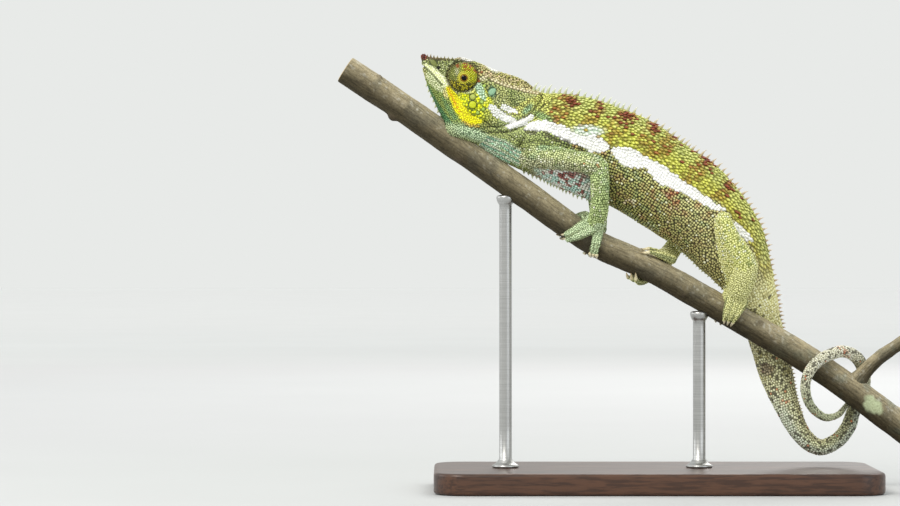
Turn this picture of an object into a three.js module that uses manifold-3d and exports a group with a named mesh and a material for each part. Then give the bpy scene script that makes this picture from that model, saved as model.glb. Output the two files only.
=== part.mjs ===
// A male panther chameleon gripping a cut length of branch, held over a flat base by two rods.
// Millimetres, +Z up. The head points to -X and the animal's left side faces -Y.
// The origin is the middle of the base's underside.

import * as THREE from 'three';
import { mergeVertices } from 'three/addons/utils/BufferGeometryUtils.js';
import Module from 'manifold-3d';

const wasm = await Module();
wasm.setup();

// ---------------------------------------------------------------- driving dimensions

const GAP = 0.3; // clear space between neighbouring pieces
const CUT = 500; // side of a cutting block, larger than the whole model

const BASE = { length: 210, width: 96, thickness: 10, corner: 14, edge: 1.2 };
const ROD = { radius: 3, places: [-71, 21], sink: 2.5, sides: 10 };

// Branch centre line and radius: [x, z, radius]
const BRANCH = [
  [-147, 198.9, 6.9],
  [-121, 181.9, 6.9],
  [-90.7, 160.6, 6.9],
  [-60.3, 139, 6.7],
  [-30.4, 117.9, 6.5],
  [-2.8, 104.8, 6.4],
  [31.8, 85.3, 6.4],
  [68.4, 63.7, 6.6],
  [90.7, 48.9, 6.7],
  [106, 37.6, 6.9],
  [124, 23.6, 6.7],
];
// Side twig: [x, y, z, radius, radius]
const TWIG = [
  [92, 0, 46, 3.9, 3.9],
  [99.5, 0, 55.4, 3.6, 3.6],
  [107, 0, 62.3, 3.3, 3.3],
  [124, 0, 74.2, 3.2, 3.2],
];

const WOOD = { branch: { steps: 13, sides: 10 }, twig: { steps: 4, sides: 10 } };

// Head, in its own frame: a runs back along the mouth line, b rises at right angles to it
const MOUTH = { x: -110, z: 200.8, tilt: 50, corner: 33 };
const HEAD_SPAN = [-4, 46];
const HEAD = {
  top: [[-4, 3.5], [0, 7.2], [4.6, 11.6], [11.1, 18.4], [23.6, 25.2], [35.4, 32.2], [46, 35]],
  bottom: [
    [-4, 2.2],
    [-1, -0.2],
    [3, -2.6],
    [10.8, -5.7],
    [19.4, -8.1],
    [25.7, -9.8],
    [29, -12.9],
    [33.6, -13.4],
    [38.5, -10.2],
    [46, -5],
  ],
  roof: [[-4, 1], [0, 2.3], [5, 3.2], [11, 4.8], [17, 5.8], [24, 5.9], [33, 4.2], [46, 1]],
  cheek: [[-4, 0.9], [0, 2.5], [5, 3.6], [11, 4.8], [17, 6.2], [24, 8.4], [31, 10], [38, 9.6], [46, 7.6]],
  lip: [[-4, 0.5], [0, 2.4], [5, 4.2], [11, 5.6], [17, 6.6], [24, 8], [31, 9.6], [38, 9.8], [46, 9]],
  jaw: [[-4, 0.3], [0, 1], [5, 2.5], [11, 3.6], [20, 5.2], [28, 8.2], [36, 9.8], [46, 9]],
};
// Heights in a head section: jaw as a share of the way up to the lip, the rest of the full height
const HEAD_LEVELS = { jaw: 0.3, lip: 0.32, cheek: 0.6, roof: 0.93 };
const HEAD_FINENESS = { sections: 11, crowding: 1.15, sides: 16 };
const CREST_BAND = { from: 22, foot: 19, slope: 26 }; // where the casque parts from the skull

// Eye turrets: seat on the head, dome size, eyeball radius and how far it stands proud of the dome
const EYE = {
  a: 16.2, b: 10.9, side: 5.3, radius: 6.9, height: 7.1, ball: 3, lift: 0.2,
  outline: [[0, -0.55], [0.86, -0.55], [1, 0], [0.88, 0.45], [0.5, 0.88], [0, 1]], // shares of the dome
  sides: 10,
};

const BALL = { around: 8, rings: 5 };

// Neck, trunk and tail in one run: [x, y, z, half width, half height]
const SPINE = [
  [-79.5, 0, 177.6, 8.6, 17.4],
  [-62.2, 0, 170.8, 10, 18.7],
  [-41.5, 0, 165.2, 11.6, 22.2],
  [-27, 0, 160.1, 12.1, 23.1],
  [-11.5, 0, 154.3, 12.4, 22.3],
  [3.3, 0, 144.7, 12.4, 21.6],
  [16.1, 0, 136.2, 12, 21.4],
  [27.3, 0, 125.7, 11.4, 19.6],
  [35.6, 0, 114.8, 10.3, 17.8],
  [41.8, 0.5, 104.3, 8.9, 14.2],
  [47.5, 3.5, 93.4, 7.5, 10.8],
  [51.4, 9.5, 81, 6.7, 9.4],
  [55.2, 13.6, 67.5, 6.3, 8.6],
  [59, 13.8, 53.5, 5.9, 8],
  [64.1, 12.8, 38.3, 5, 6],
  [71, 12.2, 25, 4.4, 4.6],
  [79.2, 12.2, 19, 3.9, 3.9],
  [87.4, 12.2, 21.9, 3.7, 3.7],
  [92.8, 12.2, 28, 3.6, 3.6],
  [95.5, 12, 35.5, 3.4, 3.4],
  [98.3, 11.8, 42.6, 3.3, 3.3],
  [100.7, 11.6, 50, 3.2, 3.2],
  [99.7, 9, 57.3, 3.1, 3.1],
  [95, 3.5, 63.1, 3, 3],
  [87.9, -3.2, 65.2, 2.9, 2.9],
  [78.4, -8.8, 62.1, 2.75, 2.75],
  [72.2, -9.8, 55.9, 2.6, 2.6],
  [70.5, -8.4, 47.8, 2.45, 2.45],
  [73.4, -5.2, 39.6, 2.2, 2.2],
  [79.9, -1.6, 34.2, 1.9, 1.9],
  [86.6, 2, 34.8, 1.6, 1.6],
  [91.3, 5.6, 39.2, 1.25, 1.25],
  [94, 8.2, 43.6, 0.8, 0.8],
];
// How much slimmer a section is near the back than near the belly, and the row where that stops
const BACK_NARROWING = { share: 0.22, until: 12 };

// Where the run is parted, as row numbers of SPINE, and how finely each length is built
const LENGTHS = [
  { name: 'neck', from: 0, to: 1.85, steps: 3, sides: 16 },
  { name: 'trunk_front', from: 1.85, to: 5, steps: 4, sides: 16 },
  { name: 'trunk_rear', from: 5, to: 9.4, steps: 6, sides: 16 },
  { name: 'tail_1', from: 9.4, to: 14, steps: 6, sides: 12 },
  { name: 'tail_2', from: 14, to: 19, steps: 8, sides: 8 },
  { name: 'tail_3', from: 19, to: 23.5, steps: 6, sides: 8 },
  { name: 'tail_4', from: 23.5, to: 28, steps: 6, sides: 8 },
  { name: 'tail_5', from: 28, to: 32, steps: 6, sides: 8 },
];

// Spines of the back and cones of the throat and belly: rows of SPINE, height and spacing at both ends
const BACK_SPINES = {
  from: 1.15, to: 10.4, height: [3.2, 1.5], spacing: [3.3, 2.3],
  radius: [0.9, 0.7], lean: 0.2,
};
const CHEST_CONES = {
  from: 1.25, to: 3.2, height: [1.7, 1.7], spacing: [2.4, 2.4],
  radius: [0.7, 0.7], lean: -0.2,
};
const BELLY_CONES = {
  from: 6.6, to: 9.3, height: [1.3, 1.3], spacing: [2.6, 2.6],
  radius: [0.6, 0.6], lean: -0.2,
};
const CHIN_CONES = { from: 8, to: 40, height: 1.3, spacing: 2.6, radius: 0.65 };
const SPIKE = { sides: 3, sink: 0.9 };

// Limbs: [x, y, z, half width, half height], each from the body outwards
const LIMBS = {
  left_arm: {
    upper: [
      [-60, -5, 159, 5, 6.4],
      [-45.5, -12, 156.4, 5, 5.4],
      [-32, -16, 154, 4.9, 5.2],
      [-28, -16.8, 152.4, 4.8, 5],
    ],
    lower: [
      [-27.4, -16.8, 152.2, 4.7, 4.8],
      [-26.8, -15.4, 143, 4.5, 4.6],
      [-27, -12.6, 133, 4.3, 4.5],
      [-28, -9, 127, 4, 4.6],
    ],
  },
  right_arm: {
    upper: [
      [-60, 5, 159, 5, 6.4],
      [-45.5, 12, 156.4, 5, 5.4],
      [-33, 16, 154, 4.9, 5.2],
      [-29, 16.8, 152.4, 4.8, 5],
    ],
    lower: [
      [-28.8, 16.8, 152.2, 4.7, 4.8],
      [-27.8, 15.4, 143, 4.3, 4.4],
      [-27, 12.6, 134, 4, 4.1],
      [-26, 9.6, 127, 3.7, 3.8],
    ],
  },
  left_leg: {
    upper: [
      [40, -3, 99.5, 6, 7.4],
      [36, -10.5, 111, 5.4, 6.6],
      [32, -15.6, 122.5, 4.6, 5.2],
      [30.9, -16.8, 127, 4.1, 4.4],
    ],
    lower: [
      [31, -17, 127.6, 3.9, 4],
      [34.6, -17.2, 119.5, 4.2, 4.3],
      [39.4, -16, 111.5, 4.6, 5.1],
      [42.4, -14.4, 105, 4.8, 5.6],
    ],
  },
  right_leg: {
    upper: [
      [40, 3, 99.5, 6, 7],
      [33.5, 11, 112, 5.4, 6.2],
      [26.5, 16.2, 126, 4.6, 5],
      [23, 17.6, 131.5, 4, 4.2],
    ],
    lower: [
      [22.6, 17.6, 132, 3.8, 3.9],
      [18, 16, 125, 4.1, 4.2],
      [12.2, 12.8, 118, 4.2, 4.6],
      [8, 8.8, 112.6, 4, 4.6],
    ],
  },
};

// Feet: a palm and two bundles of toes that close on the branch like tongs.
// grip is the x of the branch under the palm. A bundle turns about the branch by turn (degrees from
// the branch's top, positive to the animal's left), slides along it, and keeps the given lift above the bark.
const FEET = {
  right_fore: {
    limb: 'right_arm',
    grip: -28.6,
    palm: [[-26, 9.6, 127, 3.7, 3.8], [-26.6, 7.4, 124.8, 3.2, 4], [-27.6, 1, 124.4, 2.4, 3.2]],
    bundles: [
      {
        name: 'outer', toes: 2, turn: [-34, -138], slide: [-1, 0],
        lift: [2.2, 1.7], spread: [2.9, 2.7], radius: [2.1, 1.5],
      },
      {
        name: 'inner', toes: 3, turn: [4, 130], slide: [-3.2, 1.8],
        lift: [1.4, 1.4], spread: [1.6, 1.5], radius: [1.2, 1.1],
      },
    ],
  },
  left_fore: {
    limb: 'left_arm',
    grip: -31.5,
    palm: [
      [-28, -9, 127, 4.1, 4.6],
      [-29.6, -6.4, 125.4, 3.4, 5.2],
      [-32, -3.4, 126.4, 2.8, 4.6],
      [-33.6, -0.8, 127.8, 2.4, 3.3],
    ],
    bundles: [
      {
        name: 'outer', toes: 2, turn: [28, 124], slide: [-1.2, -9],
        lift: [2.5, 1.9], spread: [4.8, 2.6], radius: [2.6, 1.8],
      },
      {
        name: 'inner', toes: 3, turn: [8, -130], slide: [-4.6, -12],
        lift: [1.9, 1.7], spread: [2.5, 2.3], radius: [1.8, 1.4],
      },
    ],
  },
  left_hind: {
    limb: 'left_leg',
    grip: 37.5,
    palm: [
      [42.4, -14.4, 105, 4.8, 5.7],
      [39.8, -12.6, 97.4, 4, 6],
      [37.2, -9, 91.6, 3.6, 5.1],
      [34.4, -2.6, 92, 3, 4],
    ],
    bundles: [
      {
        name: 'outer', toes: 3, turn: [52, 116], slide: [-3.2, -1.6],
        lift: [4.4, 1.5], spread: [3.3, 2.1], radius: [2.3, 1.3],
      },
      {
        name: 'inner', toes: 2, turn: [10, -132], slide: [-5, -4.6],
        lift: [2.2, 1.7], spread: [3, 2.7], radius: [2.2, 1.5],
      },
    ],
  },
  right_hind: {
    limb: 'right_leg',
    grip: 5.5,
    palm: [[8, 8.8, 112.6, 4, 4.6], [6, 6, 110.4, 3.8, 4.8], [3.2, 3, 109.8, 3, 4.4]],
    bundles: [
      {
        name: 'outer', toes: 3, turn: [-40, -190], slide: [-4, -15],
        lift: [2.4, 1.6], spread: [2.6, 2.5], radius: [2.1, 1.4],
      },
      {
        name: 'inner', toes: 2, turn: [-4, 26], slide: [-2, -13.4],
        lift: [2.2, 1.7], spread: [2.9, 2.7], radius: [2.2, 1.4],
      },
    ],
  },
};
const CLAW = {
  before: 0.95, length: 2.8, radius: 0.8, tip: 0.14,
  lift: 0.45, settle: 0.2, steps: 2, sides: 4,
};
const MITTEN = { stepAngle: 38, sides: 7 };
const PALM = { steps: 2, sides: 8, round: 'both' };
const TOE = { free: 0.82, overlap: 0.04, slim: 0.86, steps: 1, sides: 4 };
const LIMB = { steps: 3, sides: 8, round: 'both' };
const BULGE = { shift: 0.68, scale: 0.72 }; // the rounded end of a tube, in radii

const TRIM_TONES = {
  bark: 0x7a6a58,
  twig: 0x76695a,
  eye: 0x1a1612,
  claw: 0xb9a98a,
  base: 0x4a3a2c,
  rod: 0x9a9a98,
};
const SKIN_TONES = {
  head: 0x8a9650,
  casque: 0x9a8468,
  jaw: 0x6fa388,
  turret: 0xa8b430,
  neck: 0x8fa06a,
  trunk: 0x8f9440,
  tail: 0x9da36e,
  arm: 0x93ac7c,
  leg: 0xb3c052,
};

// ---------------------------------------------------------------- curves

const { clamp, degToRad, lerp } = THREE.MathUtils;
const ACROSS = new THREE.Vector3(0, 1, 0);

/** Catmull-Rom value between b and c, with a and d beyond them. */
function catmull(a, b, c, d, f) {
  const slope = (c - a) * f;
  const bend = (2 * a - 5 * b + 4 * c - d) * f * f;
  const twist = (3 * b - a - 3 * c + d) * f * f * f;
  return 0.5 * (2 * b + slope + bend + twist);
}

/** Rows of numbers as one smooth track, read at a row number that need not be whole. */
function track(rows) {
  const last = rows.length - 1;
  return (at) => {
    const i = Math.min(Math.floor(clamp(at, 0, last)), last - 1);
    const near = [-1, 0, 1, 2].map((k) => rows[clamp(i + k, 0, last)]);
    return rows[0].map((_, k) => catmull(near[0][k], near[1][k], near[2][k], near[3][k], at - i));
  };
}

/** A smooth line through [place, value] knots, held level beyond its ends. */
function line(knots) {
  const slopes = knots.map((_, i) => {
    const [x0, v0] = knots[Math.max(i - 1, 0)];
    const [x1, v1] = knots[Math.min(i + 1, knots.length - 1)];
    return (v1 - v0) / (x1 - x0);
  });
  return (place) => {
    const x = clamp(place, knots[0][0], knots.at(-1)[0]);
    const i = clamp(knots.findIndex(([knot]) => knot >= x) - 1, 0, knots.length - 2);
    const span = knots[i + 1][0] - knots[i][0];
    const f = (x - knots[i][0]) / span;
    const start = knots[i][1] * (2 * f ** 3 - 3 * f ** 2 + 1);
    const end = knots[i + 1][1] * (3 * f ** 2 - 2 * f ** 3);
    const leave = slopes[i] * span * (f ** 3 - 2 * f ** 2 + f);
    const arrive = slopes[i + 1] * span * (f ** 3 - f ** 2);
    return start + end + leave + arrive;
  };
}

// ---------------------------------------------------------------- solids

/** A closed geometry over rings of points that run anticlockwise about the way the rings advance. */
function skinOver(rings) {
  const sides = rings[0].length;
  const points = rings.flat();
  const faces = [];
  const around = [...Array(sides).keys()];
  const last = (rings.length - 1) * sides;
  rings.slice(1).forEach((_, row) => {
    around.forEach((s) => {
      const a = row * sides + s;
      const b = row * sides + ((s + 1) % sides);
      faces.push(a, b, a + sides, b, b + sides, a + sides);
    });
  });
  const startPole = points.push(middle(rings[0])) - 1;
  const endPole = points.push(middle(rings.at(-1))) - 1;
  around.forEach((s) => {
    const next = (s + 1) % sides;
    faces.push(startPole, next, s);
    faces.push(endPole, last + s, last + next);
  });
  const geometry = new THREE.BufferGeometry().setFromPoints(points);
  geometry.setIndex(faces);
  return geometry;
}

/** The mean of a ring's points. */
function middle(ring) {
  const sum = ring.reduce((total, point) => total.add(point), new THREE.Vector3());
  return sum.divideScalar(ring.length);
}

/** An oval ring about a centre, square to the way the path runs. */
function oval(centre, along, across, halfWidth, halfHeight, sides, narrowing = 0) {
  const side = across.clone().addScaledVector(along, -across.dot(along)).normalize();
  const up = along.clone().cross(side);
  return [...Array(sides).keys()].map((k) => {
    const angle = (2 * Math.PI * k) / sides;
    const out = halfWidth * Math.cos(angle) * (1 - narrowing * Math.sin(angle));
    const rise = halfHeight * Math.sin(angle);
    return centre.clone().addScaledVector(side, out).addScaledVector(up, rise);
  });
}

/** A solid along a track of [x, y, z, half width, half height], with flat or rounded ends. */
function tube(read, { from, to, steps, sides, across = ACROSS, narrowing = 0, round = 'none', grow = 0 }) {
  const reach = (to - from) * 1e-3;
  const spot = (at) => new THREE.Vector3(...read(at));
  const heading = (at) => spot(at + reach).sub(spot(at - reach)).normalize();
  const ring = (at, shift, scale) => {
    const [, , , width, height] = read(at);
    const centre = spot(at).addScaledVector(heading(at), shift * (Math.min(width, height) + grow));
    const [w, h] = [(width + grow) * scale, (height + grow) * scale];
    return oval(centre, heading(at), across, w, h, sides, narrowing);
  };
  const rings = [...Array(steps + 1).keys()].map((k) => ring(lerp(from, to, k / steps), 0, 1));
  if (round !== 'none') rings.push(ring(to, BULGE.shift, BULGE.scale));
  if (round === 'both') rings.unshift(ring(from, -BULGE.shift, BULGE.scale));
  return solid(skinOver(rings));
}

/** A closed geometry as a solid that can be joined and cut. */
function solid(geometry) {
  const bare = geometry.clone();
  bare.deleteAttribute('normal');
  bare.deleteAttribute('uv');
  const merged = mergeVertices(bare);
  const vertProperties = Float32Array.from(merged.attributes.position.array);
  const triVerts = Uint32Array.from(merged.index.array);
  return new wasm.Manifold(new wasm.Mesh({ numProp: 3, vertProperties, triVerts }));
}

/** The largest piece of a solid after other solids are cut from it. */
function cut(body, cutters) {
  const left = cutters.reduce((rest, cutter) => rest.subtract(cutter), body).decompose();
  return left.sort((p, q) => q.volume() - p.volume())[0];
}

const join = (solids) => solids.reduce((whole, next) => whole.add(next));

const group = new THREE.Group();

/** Adds a solid to the model as a named mesh with its own material. */
function place(name, body, color, roughness = 0.75) {
  const { vertProperties, triVerts } = body.getMesh();
  const geometry = new THREE.BufferGeometry();
  geometry.setAttribute('position', new THREE.BufferAttribute(vertProperties, 3));
  geometry.setIndex(new THREE.BufferAttribute(triVerts, 1));
  geometry.computeVertexNormals();
  const material = new THREE.MeshStandardMaterial({ color, roughness, metalness: 0 });
  const mesh = new THREE.Mesh(geometry, material);
  mesh.name = name;
  group.add(mesh);
}

/** A thin upright cone from a foot point, sunk a little into what it grows from. */
function spike(foot, way, height, radius) {
  const cone = new THREE.ConeGeometry(radius, height + SPIKE.sink, SPIKE.sides);
  cone.translate(0, (height - SPIKE.sink) / 2, 0);
  cone.applyQuaternion(new THREE.Quaternion().setFromUnitVectors(ACROSS, way));
  cone.translate(foot.x, foot.y, foot.z);
  return solid(cone);
}

// ---------------------------------------------------------------- branch

const branchHeight = line(BRANCH.map(([x, z]) => [x, z]));
const branchRadius = line(BRANCH.map(([x, , radius]) => [x, radius]));

/** Centre, direction, upward normal and radius of the branch at a given x. */
function branchAt(x) {
  const centre = new THREE.Vector3(x, 0, branchHeight(x));
  const rise = branchHeight(x + 0.5) - branchHeight(x - 0.5);
  const along = new THREE.Vector3(1, 0, rise).normalize();
  return { centre, along, up: along.clone().cross(ACROSS), radius: branchRadius(x) };
}

/** The branch as a solid, with flat cut ends. */
function branchSolid(grow) {
  const rows = BRANCH.map(([x, z, radius]) => [x, 0, z, radius, radius]);
  return tube(track(rows), { ...WOOD.branch, from: 0, to: rows.length - 1, grow });
}

/** The side twig as a solid. */
function twigSolid(grow) {
  return tube(track(TWIG), { ...WOOD.twig, from: 0, to: TWIG.length - 1, grow });
}

// ---------------------------------------------------------------- head

const MOUTH_TILT = degToRad(MOUTH.tilt);
const headLine = Object.fromEntries(Object.entries(HEAD).map(([name, knots]) => [name, line(knots)]));

/** A point of the head, from its place along and above the mouth line and its sideways place. */
function headPoint(a, b, y = 0) {
  const x = MOUTH.x + a * Math.cos(MOUTH_TILT) + b * Math.sin(MOUTH_TILT);
  const z = MOUTH.z - a * Math.sin(MOUTH_TILT) + b * Math.cos(MOUTH_TILT);
  return new THREE.Vector3(x, y, z);
}

/** One cross-section of the head: chin, jaw, lip, cheek and roof, mirrored left and right. */
function headRing(a, sides, grow) {
  const [top, bottom] = [headLine.top(a) + grow, headLine.bottom(a) - grow];
  const lipLevel = lerp(bottom, top, HEAD_LEVELS.lip);
  const half = [
    [headLine.jaw(a) + grow, lerp(bottom, lipLevel, HEAD_LEVELS.jaw)],
    [headLine.lip(a) + grow, lipLevel],
    [headLine.cheek(a) + grow, lerp(bottom, top, HEAD_LEVELS.cheek)],
    [headLine.roof(a) + grow, lerp(bottom, top, HEAD_LEVELS.roof)],
  ];
  const mirrored = half.map(([y, b]) => [-y, b]).reverse();
  const loop = [[0, bottom], ...half, [0, top], ...mirrored];
  const read = (k) => loop[((k % loop.length) + loop.length) % loop.length];
  return [...Array(sides).keys()].map((k) => {
    const at = (k * loop.length) / sides;
    const i = Math.floor(at);
    const near = [-1, 0, 1, 2].map((step) => read(i + step));
    const [y, b] = [0, 1].map((n) => catmull(near[0][n], near[1][n], near[2][n], near[3][n], at - i));
    return headPoint(a, b, y);
  });
}

/** The whole head as one solid: a loft of cross-sections from the snout to the nape. */
function headSolid(grow) {
  const { sections, crowding, sides } = HEAD_FINENESS;
  const places = [...Array(sections + 1).keys()].map((k) => lerp(...HEAD_SPAN, (k / sections) ** crowding));
  return solid(skinOver(places.map((a) => headRing(a, sides, grow))));
}

/** A block whose lower corner edge lies at (a, b) of the head, turned by a slope, for parting the head. */
function headBlock(a, b, slope, way) {
  const block = new THREE.BoxGeometry(CUT, CUT, CUT);
  block.translate((way.x * CUT) / 2, 0, (way.z * CUT) / 2);
  block.rotateY(MOUTH_TILT - degToRad(slope));
  const corner = headPoint(a, b);
  block.translate(corner.x, corner.y, corner.z);
  return solid(block);
}

/** An eye turret: a low dome on the side of the head. side is -1 on the left and 1 on the right. */
function turretSolid(side, grow) {
  const r = EYE.radius + grow;
  const h = EYE.height + grow;
  const outline = EYE.outline.map(([out, up]) => new THREE.Vector2(out * r, up * h));
  const dome = new THREE.LatheGeometry(outline, EYE.sides);
  dome.rotateX(side > 0 ? 0 : Math.PI);
  const seat = headPoint(EYE.a, EYE.b, side * EYE.side);
  dome.translate(seat.x, seat.y, seat.z);
  return solid(dome);
}

/** The eyeball in the tip of its turret. */
function eyeballSolid(side, grow) {
  const ball = new THREE.SphereGeometry(EYE.ball + grow, BALL.around, BALL.rings);
  const seat = headPoint(EYE.a, EYE.b, side * (EYE.side + EYE.height + EYE.lift - EYE.ball));
  ball.translate(seat.x, seat.y, seat.z);
  return solid(ball);
}

/** The row of small cones under the chin. */
function chinCones() {
  const { from, to, height, spacing, radius } = CHIN_CONES;
  const places = [...Array(Math.floor((to - from) / spacing) + 1).keys()].map((k) => from + k * spacing);
  const down = headPoint(0, -1).sub(headPoint(0, 0));
  return places.map((a) => spike(headPoint(a, headLine.bottom(a)), down, height, radius));
}

// ---------------------------------------------------------------- neck, trunk and tail

const spine = track(SPINE);

/** One length of the run from neck to tail tip. */
function spineSolid(length, grow = 0) {
  const inset = length.from > 0 ? 0.5 * GAP : 0;
  const start = new THREE.Vector3(...spine(length.from));
  const pace = start.distanceTo(new THREE.Vector3(...spine(length.from + 1)));
  const from = length.from + (inset - grow) / pace;
  const to = length.to - (0.5 * GAP - grow) / pace;
  const { steps, sides } = length;
  const narrowing = length.from < BACK_NARROWING.until ? BACK_NARROWING.share : 0;
  return tube(spine, { from, to, steps, sides, narrowing, grow });
}

/** Spikes along the top (side 1) or underside (side -1) of one length. */
function spikeRow(row, side, length) {
  const spikes = [];
  const spot = (at) => new THREE.Vector3(...spine(at));
  let at = row.from;
  while (at < row.to) {
    const share = (at - row.from) / (row.to - row.from);
    const along = spot(at + 0.02).sub(spot(at - 0.02));
    const pace = along.length() / 0.04;
    along.normalize();
    const up = along.clone().cross(ACROSS).multiplyScalar(side);
    const foot = spot(at).addScaledVector(up, spine(at)[4]);
    const height = lerp(...row.height, share);
    const radius = lerp(...row.radius, share);
    const way = up.clone().addScaledVector(along, row.lean).normalize();
    const room = (radius + GAP) / pace;
    if (at > length.from + room && at < length.to - room) spikes.push(spike(foot, way, height, radius));
    at += lerp(...row.spacing, share) / pace;
  }
  return spikes;
}

// ---------------------------------------------------------------- feet

/** How the toes of a bundle lie side by side: their shares of slide and of turn, and that way in space. */
function bundleSpread(foot, bundle) {
  const { along, up, radius } = branchAt(foot.grip);
  const [start, end] = bundle.turn.map(degToRad);
  const round = (end - start) * radius;
  const length = Math.hypot(round, bundle.slide[1] - bundle.slide[0]);
  const [slide, turn] = [round / length, (bundle.slide[0] - bundle.slide[1]) / length];
  const middleTurn = (start + end) / 2;
  const around = up.clone().multiplyScalar(-Math.sin(middleTurn));
  around.addScaledVector(ACROSS, -Math.cos(middleTurn));
  const across = along.clone().multiplyScalar(slide).addScaledVector(around, turn);
  return { slide, turn: turn / radius, across };
}

/** The path of one toe about the branch, as a track of [x, y, z, radius, radius] read from 0 to 1. */
function toeTrack(foot, bundle, index) {
  const { along } = branchAt(foot.grip);
  const share = bundleSpread(foot, bundle);
  return (at) => {
    const tip = clamp((at - 1) / CLAW.settle, 0, 1);
    const side = (index - (bundle.toes - 1) / 2) * lerp(...bundle.spread, at);
    const slide = lerp(...bundle.slide, at) + side * share.slide;
    const bark = branchAt(foot.grip + slide * along.x);
    const turn = degToRad(lerp(...bundle.turn, at)) + side * share.turn;
    const lift = lerp(lerp(...bundle.lift, at), CLAW.lift, tip);
    const reach = bark.radius + GAP + lift;
    const point = bark.centre.addScaledVector(bark.up, reach * Math.cos(turn));
    const radius = lerp(...bundle.radius, at);
    return [point.x, point.y - reach * Math.sin(turn), point.z, radius, radius];
  };
}

/** The free tip of one toe as a rounded tube. */
function toeSolid(foot, bundle, index, grow) {
  const { across } = bundleSpread(foot, bundle);
  const path = toeTrack(foot, bundle, index);
  const read = (at) => {
    const [x, y, z, radius] = path(at);
    return [x, y, z, radius * TOE.slim, radius * TOE.slim];
  };
  const { free, overlap, steps, sides } = TOE;
  return tube(read, { from: free - overlap, to: 1, steps, sides, across, round: 'end', grow });
}

/** The grown-together part of a bundle of toes as one flat mitten. */
function mittenSolid(foot, bundle, grow) {
  const { across } = bundleSpread(foot, bundle);
  const middleToe = toeTrack(foot, bundle, (bundle.toes - 1) / 2);
  const read = (at) => {
    const [x, y, z, radius] = middleToe(at);
    const halfWidth = radius + (lerp(...bundle.spread, at) * (bundle.toes - 1)) / 2;
    return [x, y, z, halfWidth, radius];
  };
  const steps = Math.ceil(Math.abs(bundle.turn[1] - bundle.turn[0]) / MITTEN.stepAngle);
  return tube(read, { from: 0, to: TOE.free, steps, sides: MITTEN.sides, across, grow });
}

/** One claw: a small curved cone that carries a toe's path on to the bark. */
function clawSolid(foot, bundle, index, grow) {
  const path = toeTrack(foot, bundle, index);
  const spot = (at) => new THREE.Vector3(...path(at));
  const pace = spot(1).distanceTo(spot(CLAW.before)) / (1 - CLAW.before);
  const start = 1 + (bundle.radius[1] * BULGE.shift + GAP) / pace;
  const end = start + CLAW.length / pace;
  const read = (at) => {
    const [x, y, z] = path(lerp(start, end, at));
    const radius = lerp(CLAW.radius, CLAW.tip, clamp(at, 0, 1));
    return [x, y, z, radius, radius];
  };
  const { steps, sides } = CLAW;
  return tube(read, { from: 0, to: 1, steps, sides, across: bundleSpread(foot, bundle).across, grow });
}

const toeNumbers = (bundle) => [...Array(bundle.toes).keys()];
const everyToe = (foot, make) => foot.bundles.flatMap((b) => toeNumbers(b).map((k) => make(foot, b, k)));

/** A foot without its claws: the palm joined to its toes. */
function footSolid(foot, grow) {
  const palm = tube(track(foot.palm), { ...PALM, from: 0, to: foot.palm.length - 1, grow });
  const mittens = foot.bundles.map((bundle) => mittenSolid(foot, bundle, grow));
  return join([palm, ...mittens, ...everyToe(foot, (f, b, k) => toeSolid(f, b, k, grow))]);
}

// ---------------------------------------------------------------- stand

/** The flat base: a rounded slab with a small bevel. */
function baseSolid() {
  const { length, width, thickness, corner, edge } = BASE;
  const [x, y] = [length / 2 - edge, width / 2 - edge];
  const outline = new THREE.Shape();
  outline.absarc(x - corner, y - corner, corner, 0, Math.PI / 2);
  outline.absarc(corner - x, y - corner, corner, Math.PI / 2, Math.PI);
  outline.absarc(corner - x, corner - y, corner, Math.PI, 1.5 * Math.PI);
  outline.absarc(x - corner, corner - y, corner, 1.5 * Math.PI, 2 * Math.PI);
  const bevel = { bevelThickness: edge, bevelSize: edge, bevelSegments: 1 };
  const depth = thickness - 2 * edge;
  const slab = new THREE.ExtrudeGeometry(outline, { depth, curveSegments: 2, ...bevel });
  slab.translate(0, 0, edge);
  return solid(slab);
}

/** An upright rod from a socket in the base to the underside of the branch. */
function rodSolid(x, grow) {
  const foot = BASE.thickness - ROD.sink;
  const top = branchHeight(x);
  const rod = new THREE.CylinderGeometry(ROD.radius + grow, ROD.radius + grow, top - foot + grow, ROD.sides);
  rod.rotateX(Math.PI / 2);
  rod.translate(x, 0, (top + foot - grow) / 2);
  return solid(rod);
}

// ---------------------------------------------------------------- assembly

const branch = branchSolid(0);
const branchRoom = branchSolid(GAP);
const twigRoom = twigSolid(GAP);
const sides = { left: -1, right: 1 };

place('branch', branch, TRIM_TONES.bark, 0.9);
place('branch_twig', cut(twigSolid(0), [branchRoom]), TRIM_TONES.twig, 0.9);

const turretRooms = Object.values(sides).map((side) => turretSolid(side, GAP));
const jawBlock = (grow) => headBlock(MOUTH.corner + grow, grow, 0, { x: -1, z: -1 });
const casqueBlock = (grow) => {
  const { from, foot, slope } = CREST_BAND;
  return headBlock(from - grow, foot - grow, slope, { x: 1, z: 1 });
};
const headCutters = [...turretRooms, branchRoom];
const partings = [jawBlock(GAP / 2), casqueBlock(GAP / 2)];
const wholeHead = join([headSolid(0), ...chinCones()]);
place('head', cut(wholeHead, [...headCutters, ...partings]), SKIN_TONES.head);
place('jaw', cut(wholeHead.intersect(jawBlock(-GAP / 2)), headCutters), SKIN_TONES.jaw);
place('casque', cut(wholeHead.intersect(casqueBlock(-GAP / 2)), turretRooms), SKIN_TONES.casque);

Object.entries(sides).forEach(([name, side]) => {
  place(`eye_turret_${name}`, cut(turretSolid(side, 0), [eyeballSolid(side, GAP)]), SKIN_TONES.turret);
  place(`eyeball_${name}`, eyeballSolid(side, 0), TRIM_TONES.eye, 0.15);
});

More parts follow.
